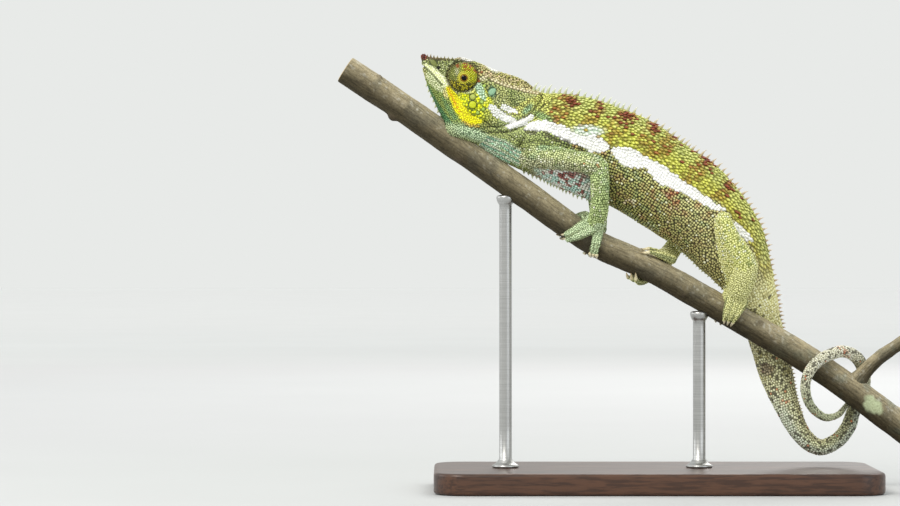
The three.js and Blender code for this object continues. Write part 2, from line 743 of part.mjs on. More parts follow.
const headRoom = headSolid(GAP);
const footRooms = Object.values(FEET).map((foot) => footSolid(foot, GAP));
const bodyRooms = [branchRoom, twigRoom, ...footRooms];
LENGTHS.forEach((length) => {
  const body = spineSolid(length);
  const undersides = [CHEST_CONES, BELLY_CONES].flatMap((row) => spikeRow(row, -1, length));
  const spikes = [...spikeRow(BACK_SPINES, 1, length), ...undersides];
  const cutters = length.name === 'neck' ? [headRoom, ...bodyRooms] : bodyRooms;
  const tone = length.name.startsWith('tail') ? SKIN_TONES.tail : SKIN_TONES[length.name.split('_')[0]];
  place(length.name, cut(join([body, ...spikes]), cutters), tone);
});

const trunkRooms = [...LENGTHS.slice(0, 4).map((length) => spineSolid(length, GAP)), branchRoom];
const limbTube = (rows, grow) => tube(track(rows), { ...LIMB, from: 0, to: rows.length - 1, grow });
Object.entries(LIMBS).forEach(([name, limb]) => {
  const tone = SKIN_TONES[name.split('_')[1]];
  place(`${name}_upper`, cut(limbTube(limb.upper, 0), [...trunkRooms, ...footRooms]), tone);
  const feetOfOthers = Object.values(FEET).flatMap((foot, k) => (foot.limb === name ? [] : [footRooms[k]]));
  const lowerCutters = [limbTube(limb.upper, GAP), ...trunkRooms, ...feetOfOthers];
  place(`${name}_lower`, cut(limbTube(limb.lower, 0), lowerCutters), tone);
});

Object.entries(FEET).forEach(([name, foot], number) => {
  const tone = SKIN_TONES[foot.limb.split('_')[1]];
  const cutters = [branchRoom, limbTube(LIMBS[foot.limb].lower, GAP), ...footRooms.slice(0, number)];
  place(`${name}_foot`, cut(footSolid(foot, 0), cutters), tone);
  everyToe(foot, (_, bundle, k) => {
    const claw = cut(clawSolid(foot, bundle, k, 0), [branchRoom]);
    place(`${name}_${bundle.name}_claw_${k + 1}`, claw, TRIM_TONES.claw, 0.4);
  });
});

const rods = ROD.places.map((x) => cut(rodSolid(x, 0), [branchRoom]));
const sockets = ROD.places.map((x) => rodSolid(x, GAP));
place('stand_base', cut(baseSolid(), sockets), TRIM_TONES.base, 0.5);
rods.forEach((rod, k) => place(`stand_rod_${k + 1}`, rod, TRIM_TONES.rod, 0.35));

export default group;
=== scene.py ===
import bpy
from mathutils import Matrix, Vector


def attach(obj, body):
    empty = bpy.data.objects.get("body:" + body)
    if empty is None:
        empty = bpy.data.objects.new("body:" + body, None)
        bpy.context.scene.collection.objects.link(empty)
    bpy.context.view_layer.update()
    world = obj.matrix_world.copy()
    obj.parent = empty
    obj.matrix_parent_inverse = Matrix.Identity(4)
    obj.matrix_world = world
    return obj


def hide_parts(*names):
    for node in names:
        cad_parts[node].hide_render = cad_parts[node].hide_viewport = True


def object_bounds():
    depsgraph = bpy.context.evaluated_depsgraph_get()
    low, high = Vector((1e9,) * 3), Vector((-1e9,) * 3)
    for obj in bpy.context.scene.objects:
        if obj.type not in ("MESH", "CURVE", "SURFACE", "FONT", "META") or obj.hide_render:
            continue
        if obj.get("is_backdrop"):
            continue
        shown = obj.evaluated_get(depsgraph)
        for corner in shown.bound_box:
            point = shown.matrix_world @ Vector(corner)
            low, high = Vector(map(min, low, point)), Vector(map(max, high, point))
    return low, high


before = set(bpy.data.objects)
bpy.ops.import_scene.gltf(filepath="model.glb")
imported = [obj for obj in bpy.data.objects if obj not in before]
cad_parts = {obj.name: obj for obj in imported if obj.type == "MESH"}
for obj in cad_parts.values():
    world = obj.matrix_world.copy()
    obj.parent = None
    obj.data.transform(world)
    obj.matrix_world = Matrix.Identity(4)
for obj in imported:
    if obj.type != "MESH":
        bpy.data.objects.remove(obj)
cad_box = [list(corner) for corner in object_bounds()]

from itertools import product

import bpy
import numpy as np
from mathutils.bvhtree import BVHTree
from mathutils.kdtree import KDTree

MM = 0.001


# ================================================================ camera, floor and light
# The view is level and square to the animal's left side. The floor is plain and pale, with painted light
# that makes it paler away from the middle. The light is a wide soft key above the head, a weaker fill from
# the tail's side, one lamp behind and a weak one before the snout.

CAMERA = {"sensor": 36, "lens": 134.74, "place": (-0.0974, -1.6, 0.11195)}
BODY_MIDDLE = (-0.03, 0, 0.13)
LAMPS = {  # place and size in metres, watts, screen tone
    "key": ((-0.8, -1.1, 1.5), 0.8, 23.5, (255, 252, 246)),
    "fill": ((1.3, -1.3, 0.5), 1.2, 5, (242, 248, 255)),
    "back": ((0.5, 1.3, 1.1), 0.9, 12, (255, 253, 250)),
    "front": ((-1.5, 0.2, 0.7), 0.9, 4.6, (250, 252, 255))}
STUDIO = {"tone": (230, 232, 230), "strength": 1.02}
FLOOR = {"half": 9, "level": -2e-4, "reach": 6.0}
# The floor's tones are painted light: they grow paler away from the middle, where less of the lamps' light
# falls.
FLOOR_TONES = [  # share of the reach from the middle, screen tone
    (0.04, (190, 192, 192)), (0.1, (194, 195, 196)), (0.16, (199, 200, 201)), (0.22, (206, 207, 208)),
    (0.28, (218, 218, 219)), (0.34, (232, 233, 233)), (0.42, (246, 247, 247)), (0.62, (253, 253, 253)),
    (0.8, (255, 255, 255))]
WHITE = (255, 255, 255)


def srgb(*tones):
    """Linear light values from screen values of 0-255."""
    v = np.asarray(tones, float) / 255
    return np.where(v < 0.04045, v / 12.92, ((v + 0.055) / 1.055) ** 2.4)


def lamp(name, place, target, size, watts, tone):
    """A square area light that faces a target point."""
    light = bpy.data.lights.new(name, "AREA")
    light.size = size
    light.energy = watts
    light.color = srgb(*tone)
    item = bpy.data.objects.new(name, light)
    item.location = place
    aim = np.subtract(target, place)
    flat = np.hypot(aim[0], aim[1])
    item.rotation_euler = (np.arctan2(flat, -aim[2]), 0, np.arctan2(aim[1], aim[0]) - np.pi / 2)
    bpy.context.collection.objects.link(item)


def node(tree, kind, values=None, **settings):
    """A shader node with its settings and the given inputs: a linked socket or a plain value."""
    made = tree.nodes.new(kind)
    for key, value in settings.items():
        setattr(made, key, value)
    for key, value in (values or {}).items():
        if isinstance(value, bpy.types.NodeSocket):
            tree.links.new(value, made.inputs[key])
        else:
            made.inputs[key].default_value = value
    return made


def ramp(tree, factor, stops):
    """A colour ramp through (place, screen tone) stops."""
    made = node(tree, "ShaderNodeValToRGB", {"Fac": factor})
    elements = made.color_ramp.elements
    while len(elements) < len(stops):
        elements.new(0.5)
    for element, (place, tone) in zip(elements, stops):
        element.position = place
        element.color = (*srgb(*tone), 1)
    return made.outputs["Color"]


def grain_group():
    """A node group that lays a fine grain over a tone. Grain values from Low to High give a shade from Dark
    to Light, which multiplies the tone by Share. Roughness runs from Even to Rough as Wear runs from 0 to
    1."""
    tree = bpy.data.node_groups.new("fine_grain", "ShaderNodeTree")
    inputs = {"Tone": "Color", "Grain": "Float", "Low": "Float", "High": "Float", "Dark": "Color",
              "Light": "Color", "Share": "Float", "Wear": "Float", "Even": "Float", "Rough": "Float"}
    for name, kind in inputs.items():
        tree.interface.new_socket(name, in_out="INPUT", socket_type="NodeSocket" + kind)
    tree.interface.new_socket("Color", in_out="OUTPUT", socket_type="NodeSocketColor")
    tree.interface.new_socket("Roughness", in_out="OUTPUT", socket_type="NodeSocketFloat")
    given = tree.nodes.new("NodeGroupInput").outputs
    level = node(tree, "ShaderNodeMapRange", {
        "Value": given["Grain"], "From Min": given["Low"], "From Max": given["High"]}).outputs[0]
    shade = node(tree, "ShaderNodeMix", {"Factor": level, 6: given["Dark"], 7: given["Light"]},
                 data_type="RGBA").outputs[2]
    tint = node(tree, "ShaderNodeMix", {"Factor": given["Share"], 6: given["Tone"], 7: shade},
                data_type="RGBA", blend_type="MULTIPLY").outputs[2]
    rough = node(tree, "ShaderNodeMapRange", {
        "Value": given["Wear"], "To Min": given["Even"], "To Max": given["Rough"]}).outputs[0]
    node(tree, "NodeGroupOutput", {"Color": tint, "Roughness": rough})
    return tree


FINE_GRAIN = grain_group()


def speckle(scale, detail, roughness=0.5, distortion=0.0):
    """A maker of soft noise for a grain or a tone, its scale in cells per metre."""
    return lambda tree, place: node(tree, "ShaderNodeTexNoise", {
        "Vector": place, "Scale": scale, "Detail": detail, "Roughness": roughness,
        "Distortion": distortion}).outputs["Fac"]


def own_tone(tree, place):
    """The tones that the mesh carries for each point."""
    return node(tree, "ShaderNodeAttribute", attribute_name="tone").outputs["Color"]


def surface(name, roughness, specular, grain, shades, share, tone=own_tone, stretch=(1, 1, 1), wear=None,
            bump=None, invert=False):
    """A Principled material with a fine grain, made from Object coordinates times `stretch`. `shades` are
    the two (grain value, screen tone) stops of its shading. `roughness` is one value, or two that follow
    the wear or else the grain, and `bump` is the strength and the distance of its relief."""
    material = bpy.data.materials.new(name)
    material.use_nodes = True
    tree = material.node_tree
    shader = tree.nodes["Principled BSDF"]
    shader.inputs["Specular IOR Level"].default_value = specular
    place = node(tree, "ShaderNodeTexCoord").outputs["Object"]
    place = node(tree, "ShaderNodeMapping", {"Vector": place, "Scale": stretch}).outputs[0]
    value = grain(tree, place)
    (low, dark), (high, light) = shades
    even, rough = roughness if isinstance(roughness, tuple) else (0, 0)
    inputs = {"Tone": tone(tree, place) if callable(tone) else (*srgb(*tone), 1), "Grain": value,
              "Low": low, "High": high, "Dark": (*srgb(*dark), 1), "Light": (*srgb(*light), 1),
              "Share": share, "Wear": wear(tree, place) if wear else value, "Even": even, "Rough": rough}
    group = node(tree, "ShaderNodeGroup", inputs, node_tree=FINE_GRAIN)
    tree.links.new(group.outputs["Color"], shader.inputs["Base Color"])
    if isinstance(roughness, tuple):
        tree.links.new(group.outputs["Roughness"], shader.inputs["Roughness"])
    else:
        shader.inputs["Roughness"].default_value = roughness
    if bump:
        relief = node(tree, "ShaderNodeBump", {"Height": value, "Strength": bump[0], "Distance": bump[1]},
                      invert=invert)
        tree.links.new(relief.outputs[0], shader.inputs["Normal"])
    return material


def painted_floor_light(tree, place):
    """Painted light: floor tones that grow paler with the distance from the middle, where less of the lamps'
    light falls.
    """
    away = node(tree, "ShaderNodeVectorMath", {0: place}, operation="LENGTH").outputs["Value"]
    share = node(tree, "ShaderNodeMapRange", {"Value": away, "From Max": FLOOR["reach"]}).outputs[0]
    return ramp(tree, share, FLOOR_TONES)


camera = bpy.data.objects.new("camera", bpy.data.cameras.new("camera"))
camera.data.sensor_width = CAMERA["sensor"]
camera.data.lens = CAMERA["lens"]
camera.location = CAMERA["place"]
camera.rotation_euler = (np.pi / 2, 0, 0)
bpy.context.collection.objects.link(camera)
bpy.context.scene.camera = camera
bpy.context.scene.view_settings.view_transform = "Standard"
for name, (place, size, watts, tone) in LAMPS.items():
    lamp(name, place, BODY_MIDDLE, size, watts, tone)

world = bpy.data.worlds.new("studio")
world.use_nodes = True
world.node_tree.nodes["Background"].inputs["Color"].default_value = (*srgb(*STUDIO["tone"]), 1)
world.node_tree.nodes["Background"].inputs["Strength"].default_value = STUDIO["strength"]
bpy.context.scene.world = world

floor_mesh = bpy.data.meshes.new("floor")
half, level = FLOOR["half"], FLOOR["level"]
corners = [(x * half, y * half, level) for x, y in ((-1, -1), (1, -1), (1, 1), (-1, 1))]
floor_mesh.from_pydata(corners, [], [(0, 1, 2, 3)])
floor = bpy.data.objects.new("floor", floor_mesh)
bpy.context.collection.objects.link(floor)
floor_mesh.materials.append(surface("pale_floor", 0.75, 0.2, speckle(7, 3),
                                    ((0.3, (253, 253, 253)), (0.7, WHITE)), 1.0, painted_floor_light))
floor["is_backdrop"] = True


# ================================================================ branch
# A cut length of a thin grey-brown tree branch, with one side twig. The bark is dry, finely cracked along
# its length and lumpy at old buds. Its colour carries painted light: paler on top and darker beneath. Both
# ends of branch and twig are sawn square and show pale wood. A bud is its x, its angle, its height and its
# radius.

BRANCH = np.array([  # x, z, radius of the centre line
    (-147, 198.9, 6.9), (-121, 181.9, 6.9), (-90.7, 160.6, 6.9), (-60.3, 139, 6.7), (-30.4, 117.9, 6.5),
    (-2.8, 104.8, 6.4), (31.8, 85.3, 6.4), (68.4, 63.7, 6.6), (90.7, 48.9, 6.7), (106, 37.6, 6.9),
    (124, 23.6, 6.7)])
TWIG = np.array([(92, 46, 3.9), (99.5, 55.4, 3.6), (107, 62.3, 3.3), (124, 74.2, 3.2)])
BRANCH_BUDS = [
    (-134, 2.2, 1.5, 1.3), (-121, -1.9, 2.2, 2.0), (-90, -2.3, 1.1, 2.2), (-84, 0.9, 0.8, 2.4),
    (-70, -0.6, 0.7, 1.3), (-9, 1.2, 0.7, 1.6), (15, -2.6, 0.8, 1.3), (48, 2.6, 0.9, 2.0),
    (84, -0.6, 0.7, 3.0), (114, 1.8, 1.1, 2.2)]
TWIG_BUDS = [(108, 1.0, 0.5, 1.6), (118, -1.5, 0.4, 1.2)]
ACROSS = np.array([0.0, 1.0, 0.0])
CAP_ANGLES = [25, 48, 66, 80]


def unit(v):
    """Vectors scaled to length one."""
    return v / np.maximum(np.linalg.norm(v, axis=-1, keepdims=True), 1e-12)


def mix(a, b, share):
    """a where share is 0, b where share is 1."""
    return a + (b - a) * share


def ease(low, high, value):
    """0 below low, 1 above high and 3t^2 - 2t^3 between."""
    t = np.clip((value - low) / (high - low), 0, 1)
    return t * t * (3 - 2 * t)


def catmull(a, b, c, d, f):
    """The Catmull-Rom value a share f of the way from b to c, with a before them and d behind them."""
    return 0.5 * (2 * b + (c - a) * f + (2 * a - 5 * b + 4 * c - d) * f**2 + (3 * b - a - 3 * c + d) * f**3)


def track(rows):
    """Rows of numbers as one smooth Catmull-Rom run, read at an array of row numbers."""
    rows = np.asarray(rows, float)
    last = len(rows) - 1

    def read(at):
        at = np.asarray(at, float)
        i = np.clip(np.floor(at), 0, last - 1).astype(int)
        return catmull(*(rows[np.clip(i + k, 0, last)] for k in (-1, 0, 1, 2)), (at - i)[..., None])

    return read


def heading(read, at, reach):
    """Direction of a run at row numbers, from the places a reach before and behind them."""
    return unit(read(at + reach)[..., :3] - read(at - reach)[..., :3])


def turns(count):
    """Angles of the points of a closed ring."""
    return np.linspace(0, 2 * np.pi, count, endpoint=False)


def xyz(x, y, z):
    """Points from three arrays that broadcast to one shape."""
    return np.stack(np.broadcast_arrays(x, y, z), -1)


def way_along(points):
    """How far along a line of points each of them lies."""
    return np.concatenate([[0], np.cumsum(np.linalg.norm(np.diff(points, axis=0), axis=1))])


def noise(points, size, seed=0, detail=1):
    """Smooth random values from -1 to 1: hashed values on a lattice `size` apart, eased between its eight
    corners, with `detail` layers of which each is half as large and half as strong."""
    total, weight = 0, 0
    for layer in range(detail):
        q = points / (size / 2**layer) + 31.7 * (seed + 5 * layer)
        cell = np.floor(q).astype(np.int64)
        f = q - cell
        f = f * f * (3 - 2 * f)
        value = 0
        for corner in product((0, 1), repeat=3):
            c = cell + corner
            h = (c[..., 0] * 73856093) ^ (c[..., 1] * 19349663) ^ (c[..., 2] * 83492791)
            h = (h ^ (h >> 13)) * 1274126177
            part = ((h >> 8) & 0xFFFF) / 32767.5 - 1
            value = value + part * np.prod(np.where(corner, f, 1 - f), axis=-1)
        total = total + value / 2**layer
        weight += 1 / 2**layer
    return total / weight


def sweep(read, at, sides, across=ACROSS, narrowing=0, grow=0, ends=(False, False)):
    """Oval rings square to a run of x, y, z, half width, half height. At angle t a ring's point lies
    width * cos(t) * (1 - narrowing * sin(t)) to the side and height * sin(t) up. An end that is asked for is
    rounded off by shrinking rings, cos(p) as large and sin(p) radii further out."""
    rows = read(at)
    along = heading(read, at, (at[-1] - at[0]) * 1e-3)
    centre, size = rows[:, :3], rows[:, 3:5] + grow
    for end, step in ((0, -1), (-1, 1)):
        if ends[end]:
            p = np.radians(CAP_ANGLES)[:, None]
            cap = centre[end] + along[end] * step * size[end].min() * np.sin(p)
            parts = [(cap, centre), (size[end] * np.cos(p), size), (np.repeat(along[end][None], len(p), 0),
                along)]
            centre, size, along = (np.concatenate([whole, extra] if step > 0 else [extra[::-1], whole])
                                   for extra, whole in parts)
    side = unit(across - along * (along @ across)[:, None])
    up = np.cross(along, side)
    t = turns(sides)
    out = np.cos(t) * (1 - narrowing * np.sin(t))
    return (centre[:, None] + side[:, None] * (size[:, :1] * out)[..., None]
            + up[:, None] * (size[:, 1:] * np.sin(t))[..., None])


def shell(rings):
    """Points and faces of a closed skin over rings: quads between them and a fan to the middle of each
    end."""
    count, sides = rings.shape[:2]
    points = np.concatenate([rings.reshape(-1, 3), [rings[0].mean(0), rings[-1].mean(0)]])
    here = np.arange(sides)
    ahead = (here + 1) % sides
    row = np.arange(count - 1)[:, None] * sides
    quads = np.stack([row + here, row + ahead, row + ahead + sides, row + here + sides], -1).reshape(-1, 4)
    last = (count - 1) * sides
    fans = np.concatenate([
        np.stack([np.full(sides, count * sides), ahead, here], 1),
        np.stack([np.full(sides, count * sides + 1), last + here, last + ahead], 1)])
    return points, [quads, fans]


def joined(shells):
    """Several shells as the points and faces of one."""
    points, quads, fans, base = [], [], [], 0
    for p, (q, f) in shells:
        points.append(p)
        quads.append(q + base)
        fans.append(f + base)
        base += len(p)
    return np.concatenate(points), [np.concatenate(quads), np.concatenate(fans)]


def piece(name, points, faces, material, tone=None):
    """A smooth mesh object from points in millimetres, with a colour for each point as the attribute
    `tone`."""
    mesh = bpy.data.meshes.new(name)
    mesh.vertices.add(len(points))
    mesh.vertices.foreach_set("co", (np.asarray(points) * MM).ravel())
    corners = np.concatenate([f.ravel() for f in faces])
    sizes = np.concatenate([np.full(len(f), f.shape[1]) for f in faces])
    starts = np.concatenate([[0], np.cumsum(sizes)[:-1]])
    mesh.loops.add(len(corners))
    mesh.loops.foreach_set("vertex_index", corners.astype(np.int32))
    mesh.polygons.add(len(sizes))
    mesh.polygons.foreach_set("loop_start", starts.astype(np.int32))
    mesh.update(calc_edges=True)
    mesh.shade_smooth()
    mesh.materials.append(material)
    if tone is not None:
        colours = np.column_stack([tone, np.ones(len(points))]).astype(np.float32)
        mesh.attributes.new("tone", "FLOAT_COLOR", "POINT").data.foreach_set("color", colours.ravel())
    item = bpy.data.objects.new(name, mesh)
    bpy.context.collection.objects.link(item)
    return item


def wood_run(rows, sides, step, seed, buds):
    """Rings of bark about a run: the radius carries slow lumps, buds as round swellings, and cracks that are
    noise stretched ten times along the run. Each bud is its x, its angle, height and radius."""
    read = track(np.column_stack([rows[:, 0], 0 * rows[:, 0], rows[:, 1], rows[:, 2], rows[:, 2]]))
    fine = np.linspace(0, len(rows) - 1, 400)
    length = way_along(read(fine)[:, :3])
    places = np.linspace(0, length[-1], int(length[-1] / step))
    rings = sweep(read, np.interp(places, length, fine), sides)
    middle = rings.mean(1, keepdims=True)
    out = unit(rings - middle)
    angle = turns(sides)
    grain = xyz(places[:, None], 9 * np.cos(angle), 9 * np.sin(angle))
    swell = 0.42 * noise(grain, 15, seed, 2) + 0.12 * noise(grain * (0.6, 1, 1), 3.2, seed + 1, 2)
    cracks = np.abs(noise(grain * (0.1, 1, 1), 0.85, seed + 2, 2))
    swell -= 0.16 * (1 - ease(0.0, 0.16, cracks))
    swell += 0.06 * noise(grain * (0.5, 1, 1), 0.7, seed + 3)
    bump = np.zeros_like(swell)
    for x, turn, height, size in buds:
        gap = np.hypot(middle[..., 0] - x, rows[0, 2] * ((angle - turn + np.pi) % (2 * np.pi) - np.pi))
        bump += height * np.exp(-((gap / size) ** 2)) - 0.3 * height * np.exp(-((gap / (0.3 * size)) ** 2))
    rings = rings + out * (swell + bump - 0.1)[..., None]
    return rings, middle, out, cracks, bump


def bark_tones(rings, out, cracks, bump, seed):
    """Bark colours: paler on top and darker and browner beneath as painted light and shade, mottled, with
    pale patches on the top only that are partly painted highlight, darker on buds, and with painted shade in
    the cracks."""
    flat = rings.reshape(-1, 3)
    top = ease(-0.5, 0.9, out.reshape(-1, 3)[:, 2:])

    def patches(low, high, size, number, detail):
        return ease(low, high, noise(flat, size, seed + number, detail))[:, None]

    # Painted light and shade: every tone here is paler where the bark faces up and darker where it faces
    # down.
    tone = mix(srgb(78, 70, 50), srgb(182, 170, 138), top)
    tone = mix(tone, mix(srgb(70, 66, 52), srgb(138, 134, 114), top), 0.6 * patches(0.05, 0.5, 9, 0, 3))
    # Pale patches on the top only: partly the bark's own pale grey, partly painted highlight.
    tone = mix(tone, srgb(206, 196, 168), 0.5 * patches(0.25, 0.6, 4.5, 4, 2) * top)
    film = patches(0.0, 0.45, 6, 8, 3) * ease(20, 100, flat[:, :1])
    tone = mix(tone, mix(srgb(74, 80, 66), srgb(142, 150, 134), top), 0.55 * film)
    # Small pale patches on the top only, partly painted highlight.
    tone = mix(tone, srgb(214, 212, 198), 0.55 * patches(0.3, 0.5, 1.5, 9, 2) * top)
    # Painted shade: the bark is darkened in its cracks.
    tone = tone * (0.62 + 0.38 * ease(0, 0.2, cracks.reshape(-1, 1)))
    tone = mix(tone, srgb(74, 64, 52), 0.5 * ease(0.2, 0.9, bump.reshape(-1, 1)))
    return tone * (1 + 0.12 * noise(flat, 0.9, seed + 6)[:, None])


def with_sawn_ends(rings, tones):
    """The rings and colours with a bevel and a flat face of pale wood at both ends, banded by sin(9 *
    size)."""
    shrink = np.array([0.95, 0.9, 0.72, 0.5, 0.28, 0.1])[:, None, None]
    depth = np.array([0.25, *[0.35] * 5])[:, None, None]
    wood = mix(srgb(176, 148, 104), srgb(206, 184, 140), np.abs(np.sin(9 * shrink[..., 0])))
    wood = np.repeat(wood[:, None], rings.shape[1], 1)
    for end, beside in ((0, 1), (-1, -2)):
        centre = rings[end].mean(0)
        inward = unit(rings[beside].mean(0) - centre)
        caps = centre + (rings[end] - centre) * shrink - inward * depth
        rings = np.concatenate([rings, caps] if end else [caps[::-1], rings])
        tones = np.concatenate([tones, wood] if end else [wood[::-1], tones])
    return rings, np.concatenate([tones.reshape(-1, 3), [tones[0].mean(0), tones[-1].mean(0)]])


def lichen(points):
    """1 in a round crust on the near side towards the branch's lower end."""
    x, z = points[:, 0] - 103, points[:, 2] - 40
    away = np.hypot(x * 0.9 + z * 0.55, z * 0.9 - x * 0.2)
    return (ease(5.2, 3.4, away + 1.3 * noise(points, 2.4, 5, 2)) * ease(1.5, -1.5, points[:, 1]))[:, None]


bark = surface("bark", (0.7, 0.98), 0.25, speckle(1400, 5, 0.7), ((0.3, (178, 172, 164)), (0.62, WHITE)),
               0.75, wear=speckle(260, 3), bump=(0.5, 0.0002))
BRANCH_LINE = track(BRANCH)(np.linspace(0, len(BRANCH) - 1, 600))
rings, middle, out, cracks, bump = wood_run(BRANCH, 120, 0.5, 3, BRANCH_BUDS)
flat = rings.reshape(-1, 3)
tones = bark_tones(rings, out, cracks, bump, 11)
tones = mix(tones, srgb(186, 196, 158) * (1 + 0.1 * noise(flat, 0.8, 8)[:, None]), lichen(flat))
rings, tones = with_sawn_ends(rings, tones.reshape(*rings.shape))
branch = piece("bark_of_branch", *shell(rings), bark, tones)
rings, middle, out, cracks, bump = wood_run(TWIG, 64, 0.42, 29, TWIG_BUDS)
rings += out * (1.5 * np.exp(-((middle[..., 0] - 95) / 2.6) ** 2))[..., None]
tones = bark_tones(rings, out, cracks, bump, 23) * 0.92
rings, tones = with_sawn_ends(rings, tones.reshape(*rings.shape))
twig = piece("bark_of_twig", *shell(rings), bark, tones)
for item, replaced in ((branch, "branch"), (twig, "branch_twig")):
    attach(item, "root")
    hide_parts(replaced)


# ================================================================ stand
# A dark varnished hardwood base with rounded corners and edges, and two brushed steel rods. Each rod stands
# in a turned collar on the base and ends in a shallow cup under the branch.

BASE = {"length": 210, "width": 96, "thickness": 10, "corner": 14, "edge": 1.6}
ROD_PLACES = (-71, 21)
ROD_RADIUS = 3
SEAT_DEPTH = 5.6  # of a cup's seat below the branch's centre line


def slab_rings():
    """Rounded-rectangle rings from the underside's middle out, up the edge and in again over the top."""
    t = turns(192)
    corner, edge, top = BASE["corner"], BASE["edge"], BASE["thickness"]
    way = np.stack([np.cos(t), np.sin(t)], 1)
    core = (BASE["length"] / 2 - corner, BASE["width"] / 2 - corner) * np.sign(way)
    turn = np.radians(np.linspace(0, 90, 6))
    low = [(-edge * (1 - np.sin(p)), edge * (1 - np.cos(p))) for p in turn]
    high = [(-edge * (1 - np.cos(p)), top - edge * (1 - np.sin(p))) for p in turn]
    flat = (-13.9, -7, -3)
    rims = [(inset, 0) for inset in flat] + low + high + [(inset, top) for inset in flat[::-1]]
    outlines = [np.column_stack([core + (corner + inset) * way, np.full(len(t), z)]) for inset, z in rims]
    return np.stack(outlines)


def wood_figure(tree, place):
    """Dark and light bands of the wood's figure along its grain."""
    bands = speckle(1.3, 5, distortion=0.9)(tree, place)
    return ramp(tree, bands, [(0.3, (52, 32, 22)), (0.5, (86, 56, 38)), (0.7, (64, 40, 28))])


base_wood = surface("varnished_wood", (0.42, 0.28), 0.5, speckle(16, 3, 0.6),
                    ((0.42, (150, 140, 130)), (0.56, WHITE)), 0.7, wood_figure, stretch=(4, 46, 46),
                    bump=(0.15, 0.0002))
slab = piece("varnished_base", *shell(slab_rings()), base_wood)
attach(slab, "root")
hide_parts("stand_base")

steel = surface("brushed_steel", (0.26, 0.42), 0.5, speckle(1, 3),
                ((0.3, (166, 166, 164)), (0.7, (192, 192, 190))), 1.0, WHITE, stretch=(30, 30, 2600),
                bump=(0.08, 0.0001))
steel.node_tree.nodes["Principled BSDF"].inputs["Metallic"].default_value = 1.0
COLLAR = np.array([  # radius, height above the base's top
    (2.2, -2.4), (3, -2.4), (5.6, 0.02), (6.2, 0.2), (6.4, 0.7), (6.2, 1.3), (5.2, 1.8), (4.2, 2.6),
    (3.6, 3.6), (ROD_RADIUS, 4.2), (ROD_RADIUS, 20)])
CUP = np.array([  # radius, height above the cup's seat
    (ROD_RADIUS, -9), (ROD_RADIUS, -6.2), (3.5, -5.6), (4.1, -4.4), (4.4, -2.9), (4.3, -2.2), (3.6, -1.6),
    (2, -1.5)])
for number, x in enumerate(ROD_PLACES, 1):
    seat = np.interp(x, BRANCH_LINE[:, 0], BRANCH_LINE[:, 1]) - SEAT_DEPTH
    profile = np.concatenate([COLLAR + (0, BASE["thickness"]), CUP + (0, seat)])
    radius, height = profile[:, :1], profile[:, 1:]
    rings = xyz(x + radius * np.cos(turns(40)), radius * np.sin(turns(40)), height)
    rod = piece(f"steel_rod_{number}", *shell(rings), steel)
    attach(rod, "root")
    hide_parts(f"stand_rod_{number}")


# ================================================================ flesh
# One skin over head, trunk, limbs, feet and tail. Every part is first a closed run of rings; they are fused
# into one surface, softened where they meet, and pressed by the bark. It lies under the CAD solids by the
# scales' depth.

COAT_DEPTH = 0.45
VOXEL = 0.72
BARK_GAP = 0.12
MOUTH = {"x": -110, "z": 200.8, "tilt": np.radians(50)}
HEAD = {
    "top": [(-4, 3.5), (0, 7.2), (4.6, 11.6), (11.1, 18.4), (23.6, 25.2), (35.4, 32.2), (46, 35)],
    "bottom": [(-4, 2.2), (-1, -0.2), (3, -2.6), (10.8, -5.7), (19.4, -8.1), (25.7, -9.8), (29, -12.9),
               (33.6, -13.4), (38.5, -10.2), (46, -5)],
    "roof": [(-4, 1), (0, 2.3), (5, 3.2), (11, 4.8), (17, 5.8), (24, 5.9), (33, 4.2), (46, 1)],
    "cheek": [(-4, 0.9), (0, 2.5), (5, 3.6), (11, 4.8), (17, 6.2), (24, 8.4), (31, 10), (38, 9.6),
              (46, 7.6)],
    "lip": [(-4, 0.5), (0, 2.4), (5, 4.2), (11, 5.6), (17, 6.6), (24, 8), (31, 9.6), (38, 9.8), (46, 9)],
    "jaw": [(-4, 0.3), (0, 1), (5, 2.5), (11, 3.6), (20, 5.2), (28, 8.2), (36, 9.8), (46, 9)],
}
EYE = {"a": 16.2, "b": 10.9, "side": 5.3, "radius": 6.9, "height": 7.1, "ball": 3, "opening": 1.62,
       "gaze": (0.45, -0.95)}
